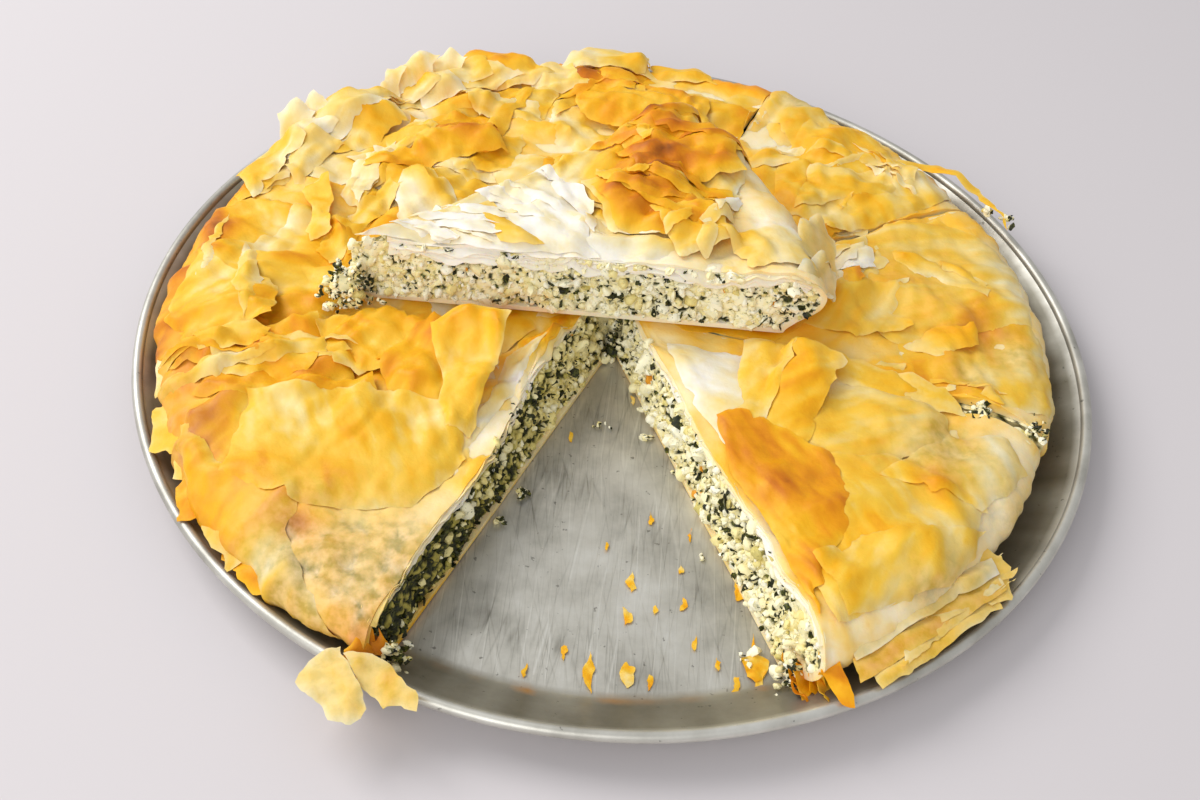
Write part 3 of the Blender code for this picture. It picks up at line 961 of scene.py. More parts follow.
SLICES = (
    SliceForm("left", 66.0, 246.0, (167.0, 170.0), 0.46, 0.9, 100, open_end=True,
              slant_end=((0, 8), (40, 9), (64, 8), (80, 5.5), (90, 3.5), (110, 2.5), (170, 2.5)),
              # Painted shade on this slice's cut face, which lies in shade
              side_bake=0.2, painted_face_shade=0.34,
              bakes=(Patch(-140, -12, 24, -0.05), Patch(-100, -40, 22, 0.04), Patch(-84, -34, 16, 0.06),
                     Patch(-60, -58, 14, 0.04), Patch(-98, -136, 30, -0.27), Patch(-50, -112, 16, -0.2),
                     Patch(-40, -72, 14, -0.16), Patch(-22, -46, 14, -0.3), Patch(-158, -40, 16, -0.08),
                     Patch(-98, -117, 6, 0.5), Patch(-132, 88, 24, -0.2), Patch(-96, 124, 18, -0.14),
                     Patch(-60, 100, 26, 0.06), Patch(-30, 134, 26, 0.08), Patch(-150, 40, 16, -0.12)),
              shows=(Patch(-92, -130, 24, 0.8), Patch(-64, -142, 18, 0.7), Patch(-62, -118, 12, 0.6),
                     Patch(-162, -62, 24, 0.3), Patch(-150, -90, 16, 0.3)),
              calms=(Patch(-84, -84, 34, 1.0), Patch(-62, -106, 20, 0.8), Patch(-118, -84, 20, 0.7))),
    SliceForm("front_right", -67.0, -19.0, (168.0, 164.0), 0.43, 0.5, 200, open_start=True,
              slant_start=((0, 4), (36, 4), (53, 5), (77, 4), (102, 5.5), (138, 7), (164, 7.5)),
              slant_end=((78, 0), (92, 1.6), (104, 3.4), (112, 1.8), (130, 3.4), (146, 1.2), (162, 3.6),
                         (170, 2)),
              bakes=(Patch(28, -40, 18, -0.32), Patch(48, -110, 14, -0.2), Patch(78, -50, 18, 0.02),
                     Patch(112, -76, 20, -0.1), Patch(122, -63, 11, 0.3), Patch(112, -80, 9, 0.22),
                     Patch(130, -60, 14, -0.1), Patch(86, -136, 18, -0.06)),
              shows=(Patch(108, -122, 13, 0.55), Patch(144, -92, 14, 0.5), Patch(120, -64, 17, 0.48),
                     Patch(100, -70, 26, 0.15)),
              calms=(Patch(40, -50, 24, 0.9), Patch(84, -100, 30, 0.6))),
    SliceForm("right", -19.0, 27.0, (166.0, 165.0), 0.47, 0.6, 300,
              slant_start=((78, 0), (96, 1.6), (112, 3.2), (122, 1.0), (140, 3.0), (158, 1.4), (170, 2.6)),
              bakes=(Patch(110, 30, 24, 0.06), Patch(140, -2, 10, 0.2), Patch(128, 20, 12, -0.04),
                     Patch(150, -24, 16, -0.1), Patch(146, 30, 16, -0.1)),
              shows=(Patch(160, 44, 12, 0.4), Patch(150, -16, 12, 0.4), Patch(130, -30, 8, 0.4),
                     Patch(118, 22, 34, 0.22)),
              calms=(Patch(110, 30, 34, 0.7),)),
    SliceForm("back", 27.0, 66.0, (164.0, 166.0), 0.42, 0.8, 400, side_bake=-0.06,
              bakes=(Patch(96, 84, 22, 0.02), Patch(130, 76, 14, -0.18), Patch(76, 132, 18, -0.1)),
              shows=(Patch(150, 74, 14, 0.8), Patch(76, 138, 10, 0.6))),
    SliceForm("lifted", *LIFTED_ANGLES, LIFTED_RADII, 0.26, 0.7, 500, LIFTED_POINT,
              lift=LIFTED_BOTTOM - PIE_BOTTOM, bare=14.0, open_start=True, open_end=True,
              slant_start=((0, 2), (60, 2.5), (120, 1.5), (180, 1)),
              # A negative painted shade here lightens the lit cut faces as painted light
              slant_end=((0, 4), (60, 5), (140, 3), (180, 2)), side_bake=-0.1, painted_face_shade=-0.05, hang=3.4,
              bakes=(Patch(-64, 6, 36, -0.3), Patch(-30, 0, 26, -0.22), Patch(-8, -14, 20, -0.16),
                     Patch(-34, 34, 14, -0.24), Patch(2, 18, 18, 0.22), Patch(18, 44, 28, 0.28),
                     Patch(26, 12, 16, 0.26), Patch(62, 20, 18, -0.06), Patch(-60, 28, 22, -0.2)),
              calms=(Patch(-50, 6, 40, 0.8),)),
)


@dataclass
class PastryShell:
    """The folded sheets of one slice: over the filling, round its side and under it."""

    form: SliceForm
    finish: bpy.types.Material
    cell: float = 2.1
    edge_cell: float = 1.4
    edge_sheets: int = 4
    sheet: float = 0.45
    crust_sheet: float = 2.0
    foot_inset: float = 18.0

    def build(self) -> None:
        """Build the crust and the ragged sheet edges at its cuts."""
        adopt(self.crust(), self.finish, "pastry", "pastry_" + self.form.name)
        adopt(self.sheet_edges(), self.finish, "pastry")

    def crust(self) -> bpy.types.Object:
        """The closed outer shell with its wrinkles.

        Returns:
            The crust's piece.
        """
        form = self.form
        first = POINT_RADIUS + form.bare
        mean_radius = sum(form.radii) / 2.0
        turns = int(math.radians(form.end - form.start) * mean_radius * 0.8 / self.cell)
        share = np.linspace(0.0, 1.0, turns + 1)[None, :]
        along_top = np.linspace(0.0, 1.0, int((mean_radius - SHOULDER - first) / self.cell) + 1)[:, None]
        along_edge = np.linspace(0.0, 1.0, int(RUN[-1] / self.edge_cell) + 1)[1:, None]
        shoulder = form.radius(share) - SHOULDER
        run = np.vstack([first + (shoulder - first) * along_top, shoulder + RUN[-1] * along_edge])
        x, y = form.place(run, np.broadcast_to(share, run.shape))
        relief, bake, show = form.crust(x, y)
        past = run - shoulder
        outer, inner = form.over(x, y, relief), form.over(x, y, np.full(x.shape, -self.crust_sheet))
        inner[..., 2] = np.where(past <= 0.0, PIE_TOP - TOP_PASTRY + form.lift, inner[..., 2])
        foot = [np.stack([self.floor_row(share[0], reach, level) for reach in (0.6, 0.3, 0.0)])
                for level in (PIE_BOTTOM, PIE_BOTTOM + BASE_PASTRY)]
        lattice = np.stack([np.vstack([outer, foot[0]]), np.vstack([inner, foot[1]])], 1)
        tail = np.full((3, turns + 1), 0.12 if form.lift else 0.3)
        marks = {"bake": np.vstack([bake, tail]), "show": np.vstack([show, tail * 0.0])}
        marks = {key: np.stack([value, value * 0.6], 1) for key, value in marks.items()}
        return solid_from_lattice("crust_" + form.name, lattice, marks)

    def floor_row(self, share: Grid, reach: float, level: float) -> Grid:
        """A row of points under the slice at a share of its radius.

        Args:
            share: Shares of the slice's angle.
            reach: Share of its radius.
            level: Height in mm.

        Returns:
            The points in mm.
        """
        form = self.form
        foot = form.radius(share) - self.foot_inset
        x, y = form.place(POINT_RADIUS + (foot - POINT_RADIUS) * reach, share)
        return np.stack([x, y, np.full(x.shape, level + form.lift)], -1)

    def sheet_edges(self) -> bpy.types.Object:
        """The separate sheets whose torn edges stand out a little at each cut.

        Returns:
            The piece of all those sheets.
        """
        form = self.form
        bundle = Bundle("sheet_edges_" + form.name)
        for end in (0.0, 1.0):
            outward = -1.0 if end == 0.0 else 1.0
            is_open = form.open_start if end == 0.0 else form.open_end
            for layer in range(self.edge_sheets if is_open else 2):
                seed = form.seed + 200 + layer * 11 + int(end) * 50
                first = POINT_RADIUS + form.bare + 3.0 * float(hashed(seed, 3, 5))
                run = np.linspace(first, form.radius(end) - SHOULDER + 10.0, 160)[:, None]
                across = np.linspace(0.0, 1.0, 8)[None, :]
                out = 0.5 + 0.7 * rough_noise(run, run * 0.0 + layer, 9.0, seed)
                out = out + 0.3 * form.hang * (0.7 + rough_noise(run, run * 0.0 + layer, 22.0, seed + 4))
                out = np.clip(out, -0.4, 3.2) if is_open else np.clip(out - 1.4, -0.9, 0.1)
                x, y = form.place(run, np.full(run.shape, end), outward * (-7.0 + (7.0 + out) * across))
                relief, bake, _ = form.crust(x, y)
                drop = (layer + 0.3) * TOP_PASTRY / self.edge_sheets
                droop = 0.4 * layer + form.hang * np.clip(out, 0.0, 3.0) * 0.5
                droop = droop * ease(0.62, 1.0, across) * is_open
                flutter = 0.3 * smooth_noise(run, across * 7.0, 4.0, seed + 5) * across ** 2
                stand = relief - drop - droop - 0.5 * (1.0 - across) + flutter
                level = np.clip(0.55 * bake - 0.06 * layer, 0.03, 1.0)
                upper, lower = form.over(x, y, stand), form.over(x, y, stand - self.sheet)
                bundle.add_sheet(upper.reshape(-1, 3), lower.reshape(-1, 3), grid_faces(*stand.shape)[0],
                                 level.ravel())
        return bundle.make()


@dataclass
class Pile:
    """How high the sheets already lie over each place of one slice's rolled-out crust."""

    form: SliceForm
    cell: float = 1.2
    half: float = 222.0

    def __post_init__(self) -> None:
        """Start from the bare crust."""
        axis = np.arange(-self.half, self.half, self.cell)
        x, y = np.meshgrid(axis + self.form.centre[0], axis + self.form.centre[1], indexing="ij")
        self.level = self.form.crust(x, y)[0]
        self.smooth = self.level

    def cells(self, x: Grid, y: Grid) -> tuple[Grid, Grid]:
        """Fractional cell numbers of a place.

        Args:
            x: First sheet coordinate.
            y: Second sheet coordinate.

        Returns:
            Both numbers.
        """
        limit = len(self.level) - 2.001
        return (np.clip((x - self.form.centre[0] + self.half) / self.cell, 0.0, limit),
                np.clip((y - self.form.centre[1] + self.half) / self.cell, 0.0, limit))

    def under(self, x: Grid, y: Grid) -> Grid:
        """Height of what already lies there.

        Args:
            x: First sheet coordinate.
            y: Second sheet coordinate.

        Returns:
            Height off the smooth crust in mm.
        """
        gx, gy = self.cells(x, y)
        ix, iy = gx.astype(int), gy.astype(int)
        fx, fy = gx - ix, gy - iy
        level = self.smooth
        return ((level[ix, iy] * (1 - fx) + level[ix + 1, iy] * fx) * (1 - fy)
                + (level[ix, iy + 1] * (1 - fx) + level[ix + 1, iy + 1] * fx) * fy)

    def lay(self, x: Grid, y: Grid, stand: Grid) -> None:
        """Add a sheet, and smooth what the next one will lie on.

        Args:
            x: First sheet coordinate.
            y: Second sheet coordinate.
            stand: The sheet's height there.
        """
        gx, gy = self.cells(x, y)
        np.maximum.at(self.level, (np.rint(gx).astype(int), np.rint(gy).astype(int)), stand)
        spread = self.level
        for axis in (0, 1):
            spread = np.maximum(np.maximum(spread, np.roll(spread, 1, axis)), np.roll(spread, -1, axis))
        for axis in (0, 1):
            spread = (np.roll(spread, 1, axis) + 2.0 * spread + np.roll(spread, -1, axis)) / 4.0
        self.smooth = spread


@dataclass(frozen=True)
class TornSheet:
    """One torn sheet, by the corners of its outline.

    A corner is a pair of sheet coordinates and a height off the crust. A free sheet hangs clear of the
    pile, and its corners are plain plan positions with heights over the tin's underside. Bake is its
    colour and root that of its low side, blend how far it takes on the crust's own bake, and thin how far
    a free sheet shows what is behind it. Bulge is the height of its middle. Folds, curl and ragged are the
    strength of its folds, of its raised side and of its tears, and lean is the way across its folds in
    degrees.
    """

    corners: tuple[Spot, ...]
    bake: float
    bulge: float = 0.0
    folds: float = 1.0
    curl: float = 1.0
    ragged: float = 1.0
    root: float | None = None
    free: bool = False
    seed: int = 0
    lean: float | None = None
    blend: float = 0.7
    thin: float = 0.0


@dataclass(frozen=True)
class Splinters:
    """A patch of narrow torn sheets that lie one over the other and stand up along one side.

    Reach is the patch's half length and half width, lean the way it points in degrees, spread how much
    the bake differs from sheet to sheet, and level the height of a patch that hangs clear of the pile.
    """

    centre: tuple[float, float]
    reach: tuple[float, float]
    count: int
    length: float
    width: float
    lean: float
    bake: float
    spread: float = 0.05
    rise: float = 1.0
    level: float | None = None
    thin: float = 0.0

    def sheets(self, seed: int) -> tuple[TornSheet, ...]:
        """Draw the patch's sheets.

        Args:
            seed: Which draw.

        Returns:
            The sheets, free ones where the patch has a level of its own.
        """
        draw = np.random.default_rng(seed)
        base = math.radians(self.lean)
        sheets = []
        for number in range(self.count):
            far, near = draw.uniform(-1.0, 1.0, 2) * self.reach
            x = self.centre[0] + far * math.cos(base) - near * math.sin(base)
            y = self.centre[1] + far * math.sin(base) + near * math.cos(base)
            turn = base + draw.normal(0.0, 0.2)
            along = np.array((-1.0, -0.2, 0.8, 1.0, 0.3, -0.8)) + draw.normal(0.0, 0.22, 6)
            aside = np.array((-0.6, -1.0, -0.8, 0.5, 1.0, 0.8)) * draw.uniform(0.15, 1.5, 6)
            along = along * self.length * draw.uniform(0.25, 0.62)
            aside = aside * self.width * draw.uniform(0.25, 0.75)
            raised = np.where(aside > 0.0, self.rise * draw.gamma(1.1, 0.7, 6), 0.0) + (self.level or 0.0)
            sheets.append(TornSheet(turned_corners(x, y, along, aside, raised, turn),
                                    self.bake + draw.normal(0.0, self.spread), curl=0.4,
                                    free=self.level is not None, seed=seed + 3 * number,
                                    lean=math.degrees(turn) + 90.0, thin=self.thin))
        return tuple(sheets)


def turned_corners(x: float, y: float, along: Grid, aside: Grid, raised: Grid, turn: float
                   ) -> tuple[Spot, ...]:
    """Place a sheet's corners round its middle.

    Args:
        x: X of the middle.
        y: Y of the middle.
        along: Each corner's distance along the sheet.
        aside: Each corner's distance across it.
        raised: Each corner's height.
        turn: The sheet's turn anticlockwise, in radians.

    Returns:
        The corners.
    """
    return tuple(map(tuple, np.stack([x + along * math.cos(turn) - aside * math.sin(turn),
                                      y + along * math.sin(turn) + aside * math.cos(turn), raised], 1)))


def torn_outline(corners: Grid, step: float, ragged: float, seed: int) -> Grid:
    """Tear the straight sides between corners into a ragged line.

    Args:
        corners: Corners in order, shaped (count, 2).
        step: Distance between the line's points.
        ragged: How ragged the tear is.
        seed: Which tear.

    Returns:
        Points of the closed outline.
    """
    draw = np.random.default_rng(seed + 23)
    pieces = []
    for k, (start, end) in enumerate(zip(corners, np.roll(corners, -1, axis=0))):
        side = end - start
        length = float(np.hypot(*side))
        share = np.linspace(0.0, 1.0, max(2, round(length / step) + 1))[:-1]
        across = np.array([-side[1], side[0]]) / max(length, 1e-6)
        run = share * length
        sway = 0.06 * length * rough_noise(run, run * 0 + k, max(length * 0.45, 3.0), seed + k, 2)
        nick = 0.35 * rough_noise(run, run * 0 + k, 4.0, seed + 50 + k, 3)
        tear = np.zeros(len(share))
        for middle in draw.uniform(0.04, 0.96, 1 + int(length / 16.0)):
            deep = draw.choice((-1.0, 1.0)) * min(draw.gamma(1.2, 0.8), 0.1 * length)
            tear += deep * np.clip(1.0 - np.abs(share - middle) * length / draw.uniform(1.0, 5.0), 0.0, 1.0)
        shift = ragged * (sway * np.sin(math.pi * share) + (nick + tear) * (share > 0))
        pieces.append(start + side * share[:, None] + across * shift[:, None])
    return np.concatenate(pieces)


def inside(points: Grid, outline: Grid) -> Grid:
    """Tell which points lie inside a closed outline.

    Args:
        points: Plan points.
        outline: Points of the outline.

    Returns:
        True for each point inside.
    """
    x, y = points[:, 0], points[:, 1]
    crossed = np.zeros(len(points), bool)
    for (ax, ay), (bx, by) in zip(outline, np.roll(outline, -1, axis=0)):
        spans = (ay > y) != (by > y)
        crossed ^= spans & (x < (bx - ax) * (y - ay) / (by - ay if by != ay else 1e-9) + ax)
    return crossed


def nearest(points: Grid, outline: Grid) -> Grid:
    """Distance from each point to the nearest point of an outline."""
    return np.min(np.hypot(points[:, None, 0] - outline[None, :, 0],
                           points[:, None, 1] - outline[None, :, 1]), axis=1)


def clip_half(corners: Grid, point: Grid, inward: Grid) -> Grid:
    """Cut an outline off along a line, keeping its inward side.

    Args:
        corners: Corners in order.
        point: A point on the line.
        inward: The way in.

    Returns:
        The corners that are left.
    """
    kept = []
    for start, end in zip(corners, np.roll(corners, -1, axis=0)):
        a, b = np.dot(start[:2] - point, inward), np.dot(end[:2] - point, inward)
        if a >= 0.0:
            kept.append(start)
        if (a >= 0.0) != (b >= 0.0):
            kept.append(start + (end - start) * a / (a - b))
    return np.array(kept)


def filled(outline: Grid, step: float) -> tuple[Grid, Grid]:
    """Fill a closed outline with even triangles.

    Args:
        outline: Points of the outline.
        step: Distance between points inside.

    Returns:
        Plan points, and triangles.
    """
    low, high = outline.min(axis=0), outline.max(axis=0)
    rows = []
    for k, y in enumerate(np.arange(low[1], high[1], step * 0.87)):
        x = np.arange(low[0] + (k % 2) * step / 2.0, high[0], step)
        rows.append(np.stack([x, np.full(len(x), y)], 1))
    hexes = np.concatenate(rows)
    hexes = hexes[inside(hexes, outline)]
    hexes = hexes[nearest(hexes, outline) > 0.6 * step]
    count = len(outline)
    loop = [(k, (k + 1) % count) for k in range(count)]
    flat = [Vector(spot) for spot in np.concatenate([outline, hexes])]
    spots, _, faces, *_ = geometry.delaunay_2d_cdt(flat, loop, [], 1, 1e-4, False)
    spots = np.array([spot[:] for spot in spots])
    faces = np.array([face for face in faces if len(face) == 3], dtype=np.int64).reshape(-1, 3)
    used, faces = np.unique(faces[inside(spots[faces].mean(axis=1), outline)], return_inverse=True)
    return spots[used], faces.reshape(-1, 3)


@dataclass
class SheetMaker:
    """Tears, creases and lays thin sheets on one slice."""

    form: SliceForm
    pile: Pile
    sheet: float = 0.16
    cut_margin: float = 0.2

    def lay(self, bundle: Bundle, sheet: TornSheet, step: float) -> None:
        """Lay one sheet on what is already there.

        Args:
            bundle: The mesh that the sheet joins.
            sheet: The sheet.
            step: Distance between its points.
        """
        corners = np.array(sheet.corners, float)
        if not sheet.free:
            corners = self.within_cuts(corners)
        if len(corners) < 3:
            return
        outline = torn_outline(corners[:, :2], step, sheet.ragged, sheet.seed)
        plan, faces = filled(outline, step)
        if len(faces) < 2:
            return
        self.finish(bundle, sheet, corners, plan, faces, nearest(plan, outline))

    def within_cuts(self, corners: Grid) -> Grid:
        """Trim an outline to the slice's own sector.

        Args:
            corners: Corners in order.

        Returns:
            The corners that are left.
        """
        form = self.form
        centre = np.array(form.centre)
        for angle, turned in ((form.start, 1.0), (form.end, -1.0)):
            inward = turned * np.array([-math.sin(math.radians(angle)), math.cos(math.radians(angle))])
            if len(corners):
                corners = clip_half(corners, centre + inward * (KNIFE_GAP / 2.0 + self.cut_margin), inward)
        return corners

    def finish(self, bundle: Bundle, sheet: TornSheet, corners: Grid, plan: Grid, faces: Grid,
               away: Grid) -> None:
        """Shape a sheet, lay it on the pile and colour it.

        Args:
            bundle: The mesh that the sheet joins.
            sheet: The sheet.
            corners: Its corners after trimming.
            plan: Its points in sheet coordinates.
            faces: Its triangles.
            away: Each point's distance from the torn edge.
        """
        x, y = plan[:, 0], plan[:, 1]
        size = float(np.ptp(plan, axis=0).mean())
        draw = np.random.default_rng(sheet.seed + 17)
        lean = draw.uniform(0.0, 2.0 * math.pi) if sheet.lean is None else math.radians(sheet.lean)
        across = (x - x.mean()) * math.cos(lean) + (y - y.mean()) * math.sin(lean)
        along = (y - y.mean()) * math.cos(lean) - (x - x.mean()) * math.sin(lean)
        distance = (x[:, None] - corners[None, :, 0]) ** 2 + (y[:, None] - corners[None, :, 1]) ** 2
        weight = 1.0 / (distance + (0.12 * size) ** 2) ** 1.3
        raised = (weight * corners[None, :, 2]).sum(axis=1) / weight.sum(axis=1)
        pleats = sheet.folds * self.pleats(across, along, size, draw, sheet.seed)
        flap = np.clip((across / (0.5 * size) - 0.3) / 0.7, 0.0, 1.4) ** 2
        uneven = 1.0 + 0.5 * smooth_noise(along, across, 6.0, sheet.seed)
        flap = sheet.curl * draw.gamma(1.6, 0.45) * flap * uneven
        stand = raised + sheet.bulge * np.sin(0.5 * math.pi * np.clip(away / (0.35 * size), 0.0, 1.0))
        pleats = pleats * ease(-0.8, 4.0, away)
        if sheet.free:
            points = np.stack([x, y, stand + pleats + flap], -1)
        else:
            floor = self.pile.under(x, y)
            sunk = np.clip(0.5 + rough_noise(x, y, 7.0, sheet.seed + 21), 0.0, 1.4) * ease(2.4, 0.0, away)
            stand = np.maximum(stand, floor) + 0.1 + pleats + flap - 0.65 * sunk
            self.pile.lay(np.append(x, x[faces].mean(axis=1)), np.append(y, y[faces].mean(axis=1)),
                          np.append(stand, stand[faces].mean(axis=1)))
            points = self.form.over(x, y, stand)
        corner = [points[faces[:, k]] for k in range(3)]
        crossed = np.cross(corner[1] - corner[0], corner[2] - corner[0])
        normal = np.zeros(points.shape)
        for column in range(3):
            np.add.at(normal, faces[:, column], crossed)
        normal /= np.maximum(np.linalg.norm(normal, axis=1, keepdims=True), 1e-9)
        share = np.clip((raised - corners[:, 2].min()) / max(4.0, np.ptp(corners[:, 2])), 0.0, 1.0)
        root = sheet.bake if sheet.root is None else sheet.root
        bake = root + (sheet.bake - root) * share + 0.07 * np.clip(pleats + 0.7 * flap, 0.0, 2.5)
        bake = bake + 0.09 * rough_noise(along / 5.0, across, 3.0, sheet.seed + 5)
        # Torn edges are painted a little paler, a painted highlight where light shines through the thin edge
        bake = bake - 0.05 * np.exp(-away / 0.6)
        bake = bake + 0.1 * rough_noise(x, y, 22.0, sheet.seed + 9)
        if not sheet.free:
            bake = bake + sheet.blend * (self.form.baked(x, y) - float(self.form.baked(x.mean(), y.mean())))
        show = sheet.thin if sheet.free else 0.85 * self.form.shown(x, y) * ease(4.5, 2.0, stand)
        bundle.add_sheet(points, points - normal * self.sheet, faces, np.clip(bake, 0.02, 0.99), show)

    @staticmethod
    def pleats(across: Grid, along: Grid, size: float, draw: np.random.Generator, seed: int) -> Grid:
        """Ridges of a dry sheet: a few long folds, finer pleats beside them and winding wrinkles.

        Args:
            across: Distance across the folds.
            along: Distance along them.
            size: The sheet's own size.
            draw: The seeded random numbers.
            seed: Which noise.

        Returns:
            Height of the ridges, none below 0.
        """
        height = np.zeros(len(across))
        for number in range(min(14, 5 + int(0.3 * size))):
            turn = draw.normal(0.0, 0.22 if number < 8 else 0.9)
            bent = 0.07 * size * smooth_noise(along, across, max(8.0, 0.5 * size), seed + number)
            beside = across * math.cos(turn) + along * math.sin(turn) - draw.uniform(-0.5, 0.5) * size + bent
            wide = draw.uniform(0.8, 0.8 + 0.12 * size)
            ends = 0.5 + 1.2 * smooth_noise(along, across * 0.0 + 9.0 * number, max(7.0, 0.45 * size),
                                            seed + 40)
            ridge = np.clip(1.0 - np.abs(beside) / wide, 0.0, 1.0) * np.clip(ends, 0.0, 1.0)
            height = np.maximum(height, draw.uniform(0.18, 0.42) * wide * ridge)
        swell = 0.01 * min(size, 50.0) * (1.0 + smooth_noise(across, along, max(10.0, 0.4 * size), seed + 1))
        return height + swell + 0.5 * np.maximum(wrinkles(across, along / 1.8, 6.0, seed + 2) - 0.45, 0.0)


def around(angle: float, run: float, stand: float) -> Spot:
    """A corner by its angle round the tin, its distance from the centre along the sheet, and its height."""
    return run * math.cos(math.radians(angle)), run * math.sin(math.radians(angle)), stand


